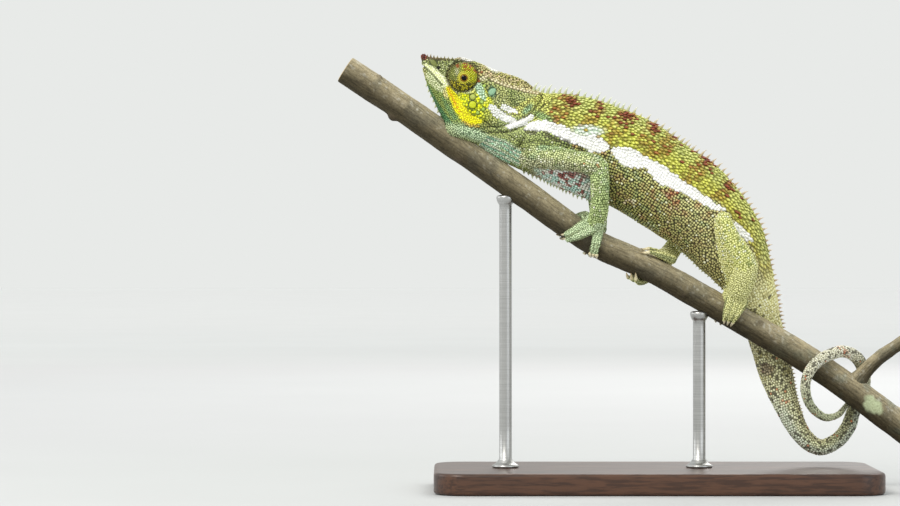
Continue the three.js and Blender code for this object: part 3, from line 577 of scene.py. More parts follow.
SPINE = np.array([  # x, y, z, half width, half height from the nape to the tip of the tail
    (-79.5, 0, 177.6, 8.6, 17.4), (-62.2, 0, 170.8, 10, 18.7), (-41.5, 0, 165.2, 11.6, 22.2),
    (-27, 0, 160.1, 12.1, 23.1), (-11.5, 0, 154.3, 12.4, 22.3), (3.3, 0, 144.7, 12.4, 21.6),
    (16.1, 0, 136.2, 12, 21.4), (27.3, 0, 125.7, 11.4, 19.6), (35.6, 0, 114.8, 10.3, 17.8),
    (41.8, 0.5, 104.3, 8.9, 14.2), (47.5, 3.5, 93.4, 7.5, 10.8), (51.4, 9.5, 81, 6.7, 9.4),
    (55.2, 13.6, 67.5, 6.3, 8.6), (59, 13.8, 53.5, 5.9, 8), (64.1, 12.8, 38.3, 5, 6),
    (71, 12.2, 25, 4.4, 4.6), (79.2, 12.2, 19, 3.9, 3.9), (87.4, 12.2, 21.9, 3.7, 3.7),
    (92.8, 12.2, 28, 3.6, 3.6), (95.5, 12, 35.5, 3.4, 3.4), (98.3, 11.8, 42.6, 3.3, 3.3),
    (100.7, 11.6, 50, 3.2, 3.2), (99.7, 9, 57.3, 3.1, 3.1), (95, 3.5, 63.1, 3, 3),
    (87.9, -3.2, 65.2, 2.9, 2.9), (78.4, -8.8, 62.1, 2.75, 2.75), (72.2, -9.8, 55.9, 2.6, 2.6),
    (70.5, -8.4, 47.8, 2.45, 2.45), (73.4, -5.2, 39.6, 2.2, 2.2), (79.9, -1.6, 34.2, 1.9, 1.9),
    (86.6, 2, 34.8, 1.6, 1.6), (91.3, 5.6, 39.2, 1.25, 1.25), (94, 8.2, 43.6, 0.8, 0.8)])
BACK_NARROWING = 0.22
LIMBS = {  # x, y, z, half width, half height, from the body outwards
    "left_arm_upper": [(-60, -5, 159, 5, 6.4), (-45.5, -12, 156.4, 5, 5.4), (-32, -16, 154, 4.9, 5.2),
                       (-28, -16.8, 152.4, 4.8, 5)],
    "left_arm_lower": [(-27.4, -16.8, 152.2, 4.7, 4.8), (-26.8, -15.4, 143, 4.5, 4.6),
                       (-27, -12.6, 133, 4.3, 4.5), (-28, -9, 127, 4, 4.6)],
    "right_arm_upper": [(-60, 5, 159, 5, 6.4), (-45.5, 12, 156.4, 5, 5.4), (-33, 16, 154, 4.9, 5.2),
                        (-29, 16.8, 152.4, 4.8, 5)],
    "right_arm_lower": [(-28.8, 16.8, 152.2, 4.7, 4.8), (-27.8, 15.4, 143, 4.3, 4.4),
                        (-27, 12.6, 134, 4, 4.1), (-26, 9.6, 127, 3.7, 3.8)],
    "left_leg_upper": [(40, -3, 99.5, 6, 7.4), (36, -10.5, 111, 5.4, 6.6), (32, -15.6, 122.5, 4.6, 5.2),
                       (30.9, -16.8, 127, 4.1, 4.4)],
    "left_leg_lower": [(31, -17, 127.6, 3.9, 4), (34.6, -17.2, 119.5, 4.2, 4.3),
                       (39.4, -16, 111.5, 4.6, 5.1), (42.4, -14.4, 105, 4.8, 5.6)],
    "right_leg_upper": [(40, 3, 99.5, 6, 7), (33.5, 11, 112, 5.4, 6.2), (26.5, 16.2, 126, 4.6, 5),
                        (23, 17.6, 131.5, 4, 4.2)],
    "right_leg_lower": [(22.6, 17.6, 132, 3.8, 3.9), (18, 16, 125, 4.1, 4.2), (12.2, 12.8, 118, 4.2, 4.6),
                        (8, 8.8, 112.6, 4, 4.6)],
}
# Feet: the palm's run and two bundles of toes, each as its toe count, then from root to tip its turn about
# the branch (degrees from the top, positive to the left), slide along it, lift above the bark, spread and
# toe radius. A web holds the toes of a bundle together: its end as a share of their length, and how far it
# lies below them.
FEET = {
    "left_fore": {"grip": -31.5, "web": (0.93, 0.45),
        "palm": [(-28, -9, 127, 4.1, 4.6), (-29.6, -6.4, 125.4, 3.4, 5.2), (-32, -3.4, 126.4, 2.8, 4.6),
                 (-33.6, -0.8, 127.8, 2.4, 3.3)],
        "outer": (2, (28, 124), (-1.2, -9), (2.5, 1.9), (4.8, 2.6), (2.6, 1.8)),
        "inner": (3, (8, -130), (-4.6, -12), (1.9, 1.7), (2.5, 2.3), (1.8, 1.4))},
    "right_fore": {"grip": -28.6, "web": (0.68, 0.75),
        "palm": [(-26, 9.6, 127, 3.7, 3.8), (-26.6, 7.4, 124.8, 3.2, 4), (-27.6, 1, 124.4, 2.4, 3.2)],
        "outer": (2, (-34, -138), (-1, 0), (2.2, 1.7), (2.9, 2.7), (2.1, 1.5)),
        "inner": (3, (4, 130), (-3.2, 1.8), (1.4, 1.4), (1.6, 1.5), (1.2, 1.1))},
    "left_hind": {"grip": 37.5, "web": (0.5, 0.9),
        "palm": [(42.4, -14.4, 105, 4.8, 5.7), (39.8, -12.6, 97.4, 4, 6), (37.2, -9, 91.6, 3.6, 5.1),
                 (34.4, -2.6, 92, 3, 4)],
        "outer": (3, (52, 116), (-3.2, -1.6), (4.4, 1.5), (3.3, 2.1), (2.3, 1.3)),
        "inner": (2, (10, -132), (-5, -4.6), (2.2, 1.7), (3, 2.7), (2.2, 1.5))},
    "right_hind": {"grip": 5.5, "web": (0.5, 1.15),
        "palm": [(8, 8.8, 112.6, 4, 4.6), (6, 6, 110.4, 3.8, 4.8), (3.2, 3, 109.8, 3, 4.4)],
        "outer": (3, (-40, -190), (-4, -15), (2.4, 1.6), (2.6, 2.5), (2.1, 1.4)),
        "inner": (2, (-4, 26), (-2, -13.4), (2.2, 1.7), (2.9, 2.7), (2.2, 1.4))},
}


def line(knots):
    """A smooth Hermite line through (place, value) knots, level beyond its ends. A knot's slope is that
    between its neighbours."""
    x, v = np.asarray(knots, float).T
    near = np.clip([np.arange(len(x)) - 1, np.arange(len(x)) + 1], 0, len(x) - 1)
    slope = (v[near[1]] - v[near[0]]) / (x[near[1]] - x[near[0]])

    def read(place):
        p = np.clip(place, x[0], x[-1])
        i = np.clip(np.searchsorted(x, p) - 1, 0, len(x) - 2)
        span = x[i + 1] - x[i]
        f = (p - x[i]) / span
        return (v[i] * (2 * f**3 - 3 * f**2 + 1) + v[i + 1] * (3 * f**2 - 2 * f**3)
                + slope[i] * span * (f**3 - 2 * f**2 + f) + slope[i + 1] * span * (f**3 - f**2))

    return read


HEAD_LINE = {name: line(knots) for name, knots in HEAD.items()}


def head_point(a, b, y):
    """A point from its place a back along the mouth line, b above it and y to the right side."""
    c, s = np.cos(MOUTH["tilt"]), np.sin(MOUTH["tilt"])
    return xyz(MOUTH["x"] + a * c + b * s, y, MOUTH["z"] - a * s + b * c)


def head_place(points):
    """The a and b of points: the way back from head_point."""
    c, s = np.cos(MOUTH["tilt"]), np.sin(MOUTH["tilt"])
    x, z = points[..., 0] - MOUTH["x"], points[..., 2] - MOUTH["z"]
    return x * c - z * s, x * s + z * c


def head_rings(a, sides, grow):
    """Sections of the head: a closed Catmull-Rom loop through chin, jaw, lip, cheek, roof and crown."""
    top, bottom = HEAD_LINE["top"](a) + grow, HEAD_LINE["bottom"](a) - grow
    lip = mix(bottom, top, 0.32)
    levels = [mix(bottom, lip, 0.3), lip, mix(bottom, top, 0.6), mix(bottom, top, 0.93)]
    half = [(HEAD_LINE[n](a) + grow, b) for n, b in zip(("jaw", "lip", "cheek", "roof"), levels)]
    loop = np.array([(0 * a, bottom), *half, (0 * a, top), *[(-y, b) for y, b in half[::-1]]])
    k = np.arange(sides) * len(loop) / sides
    i, f = np.floor(k).astype(int), (k % 1)[:, None, None]
    y, b = np.moveaxis(catmull(*(loop[(i + n) % len(loop)] for n in (-1, 0, 1, 2)), f), 1, 0)
    return head_point(a[:, None], b.T, y.T)


def branch_frame(x):
    """Centre, direction, upward normal and radius of the branch at x, each smooth in x."""
    height, radius = (np.interp(x, BRANCH_LINE[:, 0], BRANCH_LINE[:, k]) for k in (1, 2))
    ahead, behind = (np.interp(x + step, BRANCH_LINE[:, 0], BRANCH_LINE[:, 1]) for step in (1, -1))
    along = unit(xyz(2.0, 0, ahead - behind))
    return xyz(x, 0, height), along, np.cross(along, ACROSS), radius


def bundle_spread(foot, bundle):
    """Shares of slide and turn, and the direction, in which a bundle's toes lie side by side."""
    _, along, up, radius = branch_frame(np.float64(foot["grip"]))
    (start, end), slides = np.radians(bundle[1]), bundle[2]
    around = (end - start) * radius
    length = np.hypot(around, slides[1] - slides[0])
    slide, turn = around / length, (slides[0] - slides[1]) / length
    middle = (start + end) / 2
    across = along * slide + (-up * np.sin(middle) - ACROSS * np.cos(middle)) * turn
    return slide, turn / radius, across


def toe_run(foot, bundle, index, settle=0.2, tip_lift=0.45):
    """The run of one toe about the branch, from 0 at the palm to 1 at the toe's end, and on for its claw."""
    count, angles, slides, lifts, spreads, radii = bundle
    slide_share, turn_share, _ = bundle_spread(foot, bundle)
    _, along, _, _ = branch_frame(np.float64(foot["grip"]))

    def read(at):
        at = np.asarray(at, float)
        side = (index - (count - 1) / 2) * mix(*spreads, at)
        slide = mix(*slides, at) + side * slide_share
        centre, _, up, bark_radius = branch_frame(foot["grip"] + slide * along[0])
        turn = np.radians(mix(*angles, at)) + side * turn_share
        lift = mix(mix(*lifts, at), tip_lift, np.clip((at - 1) / settle, 0, 1))
        reach = (bark_radius + 0.3 + lift)[..., None]
        spot = centre + up * reach * np.cos(turn)[..., None] - ACROSS * reach * np.sin(turn)[..., None]
        radius = mix(*radii, at)
        return np.concatenate([spot, radius[..., None], radius[..., None]], -1)

    return read


def leaned(away):
    """Points given from the turrets' axis, moved along the gaze by their share of the dome's height,
    squared."""
    share = np.clip((np.abs(away[..., 1:2]) - EYE["side"]) / EYE["height"], 0, 1.1) ** 2
    return head_point(EYE["a"], EYE["b"], 0) + away + share * (EYE["gaze"][0], 0, EYE["gaze"][1])


def turret_rings(side, grow):
    """An eye turret: a dome height * sqrt(1 - (r / radius)^2)^0.94, with a raised lid about a small round
    opening that dips in behind the lid's edge."""
    radius, height, opening = EYE["radius"] + grow, EYE["height"] + grow, EYE["opening"]
    r = np.concatenate([np.linspace(1, 0.2, 46), np.linspace(0.2, 0.12, 14)]) * radius
    r = np.concatenate([r[r > opening + 0.02], opening + np.array([0, -0.04, -0.02, 0.05])])
    rise = height * np.sqrt(np.clip(1 - (r / radius) ** 2, 0, 1)) ** 0.94
    rise += 0.24 * np.exp(-(((r - opening - 0.62) / 0.42) ** 2))
    rise -= 0.10 * np.exp(-(((r - opening - 1.5) / 0.3) ** 2))
    rise[-4:] = rise[-5] - np.array([0.05, 0.14, 0.35, 0.9])
    rise = np.concatenate([[-3.4, -1.7], rise])[:, None]
    r = np.concatenate([[0.86 * radius, 0.98 * radius], r])[:, None]
    t = turns(72) * side
    return leaned(xyz(r * np.cos(t), side * (EYE["side"] + rise), r * np.sin(t)))


def add_flesh(read, end, count, sides, grow, across=ACROSS, ends=(True, True), start=0, narrowing=0):
    """Adds the shell about a run from row `start` to row `end` to the flesh."""
    rings = sweep(read, np.linspace(start, end, count), sides, across, narrowing, grow, ends)
    flesh.append(shell(rings))


spine = track(SPINE)
flesh = [shell(head_rings(np.linspace(-3.7, 46, 70), 60, -COAT_DEPTH))]
add_flesh(spine, 12, 160, 56, -COAT_DEPTH, ends=(False, False), narrowing=BACK_NARROWING)
add_flesh(spine, 32, 300, 32, -0.6 * COAT_DEPTH, ends=(False, True), start=11.6)
RUNS = {"spine": (spine, 32, ACROSS)}  # each run's reader, its last row and the way across it
for name, rows in LIMBS.items():
    RUNS[name] = (track(rows), len(rows) - 1, ACROSS)
    add_flesh(*RUNS[name][:2], 30, 32, -COAT_DEPTH)
for name, foot in FEET.items():
    RUNS[f"{name}_palm"] = (track(foot["palm"]), len(foot["palm"]) - 1, ACROSS)
    add_flesh(*RUNS[f"{name}_palm"][:2], 24, 28, -0.8 * COAT_DEPTH)
    for bundle_name in ("outer", "inner"):
        bundle = foot[bundle_name]
        across = bundle_spread(foot, bundle)[2]
        for index in range(bundle[0]):
            run = toe_run(foot, bundle, index)
            RUNS[f"{name}_{bundle_name}_{index}"] = (run, 1, across)
            at = np.linspace(0, 1, 36)
            toe = run(at)
            toe[:, 3:] -= 0.3 * ease(0.5, 0.9, at)[:, None]
            toe[:, 3] = np.minimum(toe[:, 3], mix(0.6, 0.53, at) * mix(*bundle[4], at) + 0.25)
            add_flesh(track(toe), 35, 36, 18, -0.25, across)
        share = np.linspace(0, 1, 12)
        at = share * foot["web"][0]
        web = toe_run(foot, bundle, (bundle[0] - 1) / 2)(at)
        web[:, 3] += mix(*bundle[4], at) * (bundle[0] - 1) / 2 * (1 - 0.45 * ease(0.6, 1, share))
        add_flesh(track(web), 11, 24, 26, -foot["web"][1], across)


def softened(points, quads, rounds):
    """Taubin smoothing: half a step to the mean of each point's neighbours, then 0.53 of a step back."""
    start, end = quads.ravel(), np.roll(quads, -1, 1).ravel()
    count = np.bincount(start, minlength=len(points))[:, None]
    for step in [0.5, -0.53] * rounds:
        mean = np.stack([np.bincount(start, points[end, k], len(points)) for k in range(3)], 1) / count
        points = points + step * (mean - points)
    return points


def outward(points, quads):
    """Unit normals at the points: the sum of the areas of the faces about each."""
    area = np.cross(points[quads[:, 2]] - points[quads[:, 0]], points[quads[:, 3]] - points[quads[:, 1]])
    turn = np.repeat(area, 4, 0)
    return unit(np.stack([np.bincount(quads.ravel(), turn[:, k], len(points)) for k in range(3)], 1))


def clear_of_bark(points, room):
    """Points moved out square to the branch until they clear its bark by the room given."""
    x = points[:, 0]
    for _ in range(3):
        centre, along, _, radius = branch_frame(x)
        x = x + ((points - centre) * along).sum(1) * along[:, 0]
    away = points - centre
    gap = np.linalg.norm(away, axis=1)
    short = np.clip(radius + room - gap, 0, None)
    inside = (x > BRANCH[0, 0]) & (x < BRANCH[-1, 0])
    return points + away / np.maximum(gap, 1e-9)[:, None] * (short * inside)[:, None]


# The side map: the place (u, v) of x = 0 and height z, and the length of a step in mm.
MAP = {"u": 655, "v": 455, "z": 16, "step": 0.475}


def side_map(points):
    """Places on a flat map of the animal's side, in steps to the right and down."""
    return np.stack([MAP["u"] + points[..., 0] / MAP["step"], MAP["v"] - (points[..., 2] - MAP["z"])
                     / MAP["step"]], -1)


def stroke(uv, knots, soft=1.2):
    """1 on a line through (u, v) or (u, v, half width) knots of the side map, fading to 0 over `soft`
    beyond it."""
    knots = np.array([(*knot, 0)[:3] for knot in knots], float)
    a, b = knots[:-1], knots[1:]
    way = b[:, :2] - a[:, :2]
    gap = uv[:, None] - a[:, :2]
    t = np.clip((gap * way).sum(-1) / (way**2).sum(-1), 0, 1)
    rest = np.linalg.norm(gap - t[..., None] * way, axis=-1) - mix(a[:, 2], b[:, 2], t)
    return ease(soft, 0, rest.min(1))


def strokes(uv, lines, soft):
    """1 on any of several lines of the side map."""
    return np.max([stroke(uv, knots, soft) for knots in lines], 0)


def spot(uv, u, v, wide, high, soft=0.25, lean=0):
    """1 inside an ellipse of the side map, turned by `lean` radians, fading over `soft` of its size."""
    x, y = uv[:, 0] - u, uv[:, 1] - v
    c, s = np.cos(lean), np.sin(lean)
    return ease(1 + soft, 1 - soft, np.hypot((x * c + y * s) / wide, (y * c - x * s) / high))


# Lines and folds of the head and neck on the side map, as (u, v) knots.
NOSTRIL = (438.6, 68.2)
MOUTH_LINE = [(421.5, 65), (426.5, 68.8), (431.2, 73.4), (435, 77.6), (438.8, 82.2), (442, 85.7)]
LIP_FOLD = [
    (442, 85.7), (445.8, 92), (448, 99), (452.5, 110), (457.5, 118.8), (463, 126), (474, 129.5), (486, 129)]
NECK_FOLDS = [[(542, 97), (535, 109), (526, 117), (516.7, 121), (502, 126.7), (488, 127.5)],
              [(544.7, 104), (538, 112), (530, 120), (523, 126.7), (510, 132), (495, 133), (482, 133)],
              [(523, 138.7), (519, 146.7), (526, 154.7)]]
WRINKLES = [
    [(491, 95), (496, 106), (505, 115), (514, 119)], [(550, 103), (545, 111), (537, 118), (531, 122)],
    [(484, 122), (497, 129.5), (512, 138), (520, 143)], [(511, 151), (521, 144.5), (536, 141.5), (550, 147)],
    [(529, 153.5), (540, 149), (553, 153)], [(508, 99), (518, 106), (528, 108)]]
THROAT_FOLDS = [[(458, 132.6), (480, 139.5), (500, 145), (523, 160), (538, 168)],
                [(470, 132.5), (488, 139), (504, 143), (520, 154), (536, 163)],
                [(466, 138), (482, 144), (500, 152), (518, 163)], [(474, 144), (492, 151.5), (508, 161)]]
CHEEK_FOLD = [(466, 108), (468, 112), (473.5, 116), (482.7, 120.3), (488, 124)]
LATERAL_CREST = [(485.5, 77.5), (495, 82), (506, 86.5), (524, 91), (543, 95)]
CANTHUS = [(428, 55, 1), (444, 56, 1), (456, 57, 1)]
CROWN_EDGE = [(426, 57), (437, 58.5), (447, 59.5), (458, 60), (470, 62.5)]


def with_features(points, quads):
    """The fused skin with its mouth slit, nostrils, lips, orbit rims, crests and folds pressed in or
    raised."""
    normal = outward(points, quads)
    uv = side_map(points)
    a, b = head_place(points)
    on_head = ease(50, 44, a)
    flat = ease(0.15, 0.5, np.abs(normal[:, 1]))
    flat_head = flat * on_head
    height = -0.9 * stroke(uv, MOUTH_LINE, 1.7) * on_head
    height += 0.45 * (stroke(uv, MOUTH_LINE, 5.5) - stroke(uv, MOUTH_LINE, 2.2)) * on_head
    height -= (0.6 * stroke(uv, LIP_FOLD, 2.2) + 0.7 * stroke(uv, CHEEK_FOLD, 2.2)) * flat
    height -= 0.95 * spot(uv, *NOSTRIL, 2.0, 1.1, 0.5, 0.2) * flat_head
    height += 0.4 * (spot(uv, *NOSTRIL, 4, 3, 0.3) - spot(uv, *NOSTRIL, 2.4, 1.6, 0.3)) * flat_head
    height += 0.9 * spot(uv, 424, 56.5, 2.6, 2.8, 0.9) * on_head
    orbit = np.hypot(a - EYE["a"], b - EYE["b"])
    rim = 0.6 * np.exp(-(((orbit - 8.5) / 0.8) ** 2)) - 0.3 * np.exp(-(((orbit - 7.2) / 0.5) ** 2))
    height += rim * flat_head
    height += 0.8 * stroke(uv, LATERAL_CREST, 2.0) * flat
    height += 0.5 * stroke(uv, CROWN_EDGE, 2.2) * flat
    height -= 1.0 * stroke(uv, CANTHUS, 3.6) * ease(0.1, 0.5, normal[:, 2]) * on_head
    height += 0.5 * spot(uv, 472, 102, 9, 11, 0.6) * flat
    for folds, depth, width in ((NECK_FOLDS, 1.7, 3.6), (WRINKLES, 0.9, 2.4), (THROAT_FOLDS, 0.6, 2.0)):
        for fold in folds:
            height -= depth * stroke(uv, fold, width) * flat
    on_neck = ease(560, 535, uv[:, 0]) * ease(110, 122, uv[:, 1])
    height += 0.16 * noise(points, 5.5, 41, 2) + 0.35 * noise(points * (1, 1, 0.6), 4.5, 43) * on_neck * flat
    return points + normal * height[:, None]


scratch = bpy.data.materials.new("unseen")
rough = piece("rough_flesh", *joined(flesh), scratch)
fuse = rough.modifiers.new("fuse", "REMESH")
fuse.mode = "VOXEL"
fuse.voxel_size = VOXEL * MM
fused = rough.evaluated_get(bpy.context.evaluated_depsgraph_get()).to_mesh()
points = np.zeros(len(fused.vertices) * 3)
fused.vertices.foreach_get("co", points)
quads = np.zeros(len(fused.loops), np.int32)
fused.loops.foreach_get("vertex_index", quads)
bpy.data.objects.remove(rough)
bpy.data.materials.remove(scratch)
quads = quads.reshape(-1, 4)
points = softened(points.reshape(-1, 3) / MM, quads, 6)
points = clear_of_bark(with_features(points, quads), BARK_GAP)
normals = outward(points, quads)


def cross_sections():
    """Sections along every run: centre, the three directions, half sizes, run number, row and way along in
    mm."""
    a = np.linspace(-3.5, 45.5, 99)
    low, high = HEAD_LINE["bottom"](a), HEAD_LINE["top"](a)
    way = np.tile([np.cos(MOUTH["tilt"]), 0, -np.sin(MOUTH["tilt"])], (len(a), 1))
    parts = [(head_point(a, (low + high) / 2, 0), way, HEAD_LINE["cheek"](a), (high - low) / 2, 0 * a, a, a,
              0 * way + ACROSS)]
    for number, (read, end, across) in enumerate(RUNS.values(), 1):
        at = np.linspace(0, end, 420 if number == 1 else 24)
        rows, way = read(at), heading(read, at, 1e-3)
        parts.append((rows[:, :3], way, rows[:, 3], rows[:, 4], 0 * at + number, at, way_along(rows[:, :3]),
                      0 * way + across))
    return [np.concatenate(column) for column in zip(*parts)]


CENTRES, WAYS, WIDE, HIGH, RUN_OF, ROW_OF, LENGTH_OF, ASIDE = cross_sections()
SIDES = unit(ASIDE - WAYS * (ASIDE * WAYS).sum(1, keepdims=True))
UPS = np.cross(WAYS, SIDES)
RUN_NAMES = ["head", *RUNS]


def named(place, word):
    """True for points whose run has the word in its name."""
    return np.array([word in name for name in RUN_NAMES])[place["run"]]


def places_of(spots):
    """For every point the section it belongs to, which is the one whose oval it lies deepest in: its run,
    row, way along in mm, angle about the run (0 to the right, 90 degrees on top) and the run's direction
    there."""
    near = np.empty(len(spots), int)
    for part in np.array_split(np.arange(len(spots)), len(spots) // 4000 + 1):
        p = spots[part]
        gap = sum(((p @ axis.T - (CENTRES * axis).sum(1)) / size) ** 2
                  for axis, size in ((SIDES, WIDE), (UPS, HIGH), (WAYS, np.sqrt(WIDE * HIGH))))
        near[part] = gap.argmin(1)
    away = spots - CENTRES[near]
    ahead = (away * WAYS[near]).sum(1)
    angle = np.arctan2((away * UPS[near]).sum(1) / HIGH[near], (away * SIDES[near]).sum(1) / WIDE[near])
    return {"run": RUN_OF[near].astype(int), "row": ROW_OF[near], "mm": LENGTH_OF[near] + ahead,
            "angle": angle, "way": WAYS[near], "spot": spots}


def along_tones(place, stops):
    """Tip and ground tones blended along a run through (place, tip tone, ground tone) stops."""
    where = [stop[0] for stop in stops]
    tones = (srgb(*[stop[column] for stop in stops]) for column in (1, 2))
    return [np.stack([np.interp(place, where, tone[:, k]) for k in range(3)], 1) for tone in tones]


STRIPE = [
    [(491, 108.5, 2.6), (497, 114, 3.6), (505, 118.6, 3.4), (513, 121, 2.4)],
    [(503, 107.5, 1.8), (510, 111, 2.4), (515, 113, 1.2)],
    [(508, 126, 2), (520, 123.5, 2.8), (531, 118.5, 2.4)],
    [(526, 129, 2), (535, 127, 4), (545, 126.5, 4.8), (559, 132, 5.4), (571, 138.5, 5.4), (580, 141.5, 4)],
    [(582, 142, 4.4), (592, 144.5, 7.4), (600, 147, 6), (605, 148.5, 2.5)],
    [(616, 153, 5), (624, 157.5, 8.4), (634, 160, 8), (641, 162.5, 5), (647, 164, 4.6), (656, 172, 7),
     (665, 178.5, 7.6), (676, 184.5, 5.8), (684, 189, 4.7), (692, 194, 4.3), (703, 201, 3.7),
     (713, 207, 2.8), (721, 209.5, 1.4)],
    [(734, 225.7, 2.6), (741, 232, 3), (747, 238, 2.6), (751, 242, 1)]]
BACK_LINE = np.array([
    (470, 60), (500, 112), (530, 122), (580, 137), (640, 157), (680, 182), (721, 205), (736, 226),
    (752, 250), (770, 300)])
BARS = [
    [(569, 97, 5), (559, 112, 6), (548, 126, 5)], [(597, 108, 4), (590, 120, 4.5), (583, 130, 3.5)],
    [(628, 113, 6), (618, 127, 7), (604, 141, 6)], [(654, 124, 4), (648, 134, 4), (640, 144, 3.5)],
    [(676, 133, 5), (662, 148, 6), (643, 160, 5)], [(708, 158, 5), (697, 170, 6), (683, 181, 4)],
    [(728, 183, 3.5), (718, 196, 4), (708, 203, 3)]]
CLUSTERS = [
    (572.5, 103, 6, 4.6), (599, 110.5, 5, 4), (625.3, 118, 10, 7), (653.2, 128, 6, 5), (674, 135.5, 7, 5),
    (707.5, 162, 8, 6.4), (728, 186, 5, 5)]

# Rows of the spine with the tones of scale tips and of the ground between them.
TRUNK_TONES = [
    (0, (204, 218, 146), (146, 158, 102)), (1.2, (198, 212, 138), (138, 150, 94)),
    (2.0, (146, 162, 84), (82, 94, 46)), (2.8, (192, 192, 112), (72, 70, 28)),
    (5, (212, 212, 140), (82, 76, 30)), (7.6, (228, 224, 166), (120, 114, 76)),
    (8.8, (232, 226, 166), (120, 114, 68))]
BACK_TONES = [
    (0, (196, 200, 126), (110, 108, 60)), (1.6, (232, 240, 128), (152, 152, 66)),
    (3, (246, 252, 118), (184, 188, 60)), (5.5, (234, 238, 112), (176, 178, 54)),
    (8, (234, 228, 102), (172, 160, 56)), (10, (224, 216, 126), (144, 134, 68))]
# On the tail these tones are partly its own and partly painted light: rows 8.6 to 13 and 18 to 20 are made
# paler where the tail lies in shade.
TAIL_TONES = [
    (8.6, (255, 252, 194), (246, 240, 172)), (10.5, (255, 252, 196), (236, 230, 160)),
    (12, (240, 236, 186), (174, 170, 122)), (14, (232, 234, 194), (160, 162, 122)),
    (16, (220, 224, 184), (160, 164, 122)), (18, (204, 204, 164), (138, 140, 104)),
    (20, (180, 178, 142), (114, 114, 86)), (22, (206, 204, 174), (138, 136, 110)),
    (23.5, (240, 238, 218), (196, 194, 168)), (26, (232, 230, 208), (186, 184, 158)),
    (28, (200, 208, 172), (164, 170, 140)), (32, (190, 190, 154), (144, 140, 112))]

# Sides of the tail with tones of their own: the eased sine of the angle about the tail and its shift, the
# rows over which the side sets in and ends, the tones of tips and ground, and their shares.
TAIL_SIDES = [
    ((0.3, -0.4), 0.2, (9.4, 10.6), (14, 12.6), (212, 210, 170), (114, 112, 80), (0.5, 0.6)),
    ((0.2, -0.5), 0, (13, 14.5), (22, 19), (222, 234, 222), (178, 190, 174), (0.65, 0.65)),
    ((0.2, 0.8), 0, (11, 13), (17.5, 16), (188, 178, 124), (96, 88, 54), (0.6, 0.7))]


def painter(tip, ground, luck):
    """Three functions: `lay` blends light values over the tones of scale tips and grounds where a mask is
    above 0, `paint` does so with a pair of screen tones, and `few` picks a share of the points by another
    random value from 0 to 1, made from their first."""
    def lay(mask, over, under):
        mask = np.asarray(mask, float)[:, None]
        tip[:], ground[:] = mix(tip, over, mask), mix(ground, under, mask)

    def paint(mask, over, under):
        lay(mask, srgb(*over), srgb(*under))

    def few(number, share):
        return (luck * 1013.7 * number) % 1 < share

    return lay, paint, few


def above_back(uv):
    """How far above the line where the back's colours begin, on the side map."""
    return np.interp(uv[:, 0], *BACK_LINE.T) - uv[:, 1]


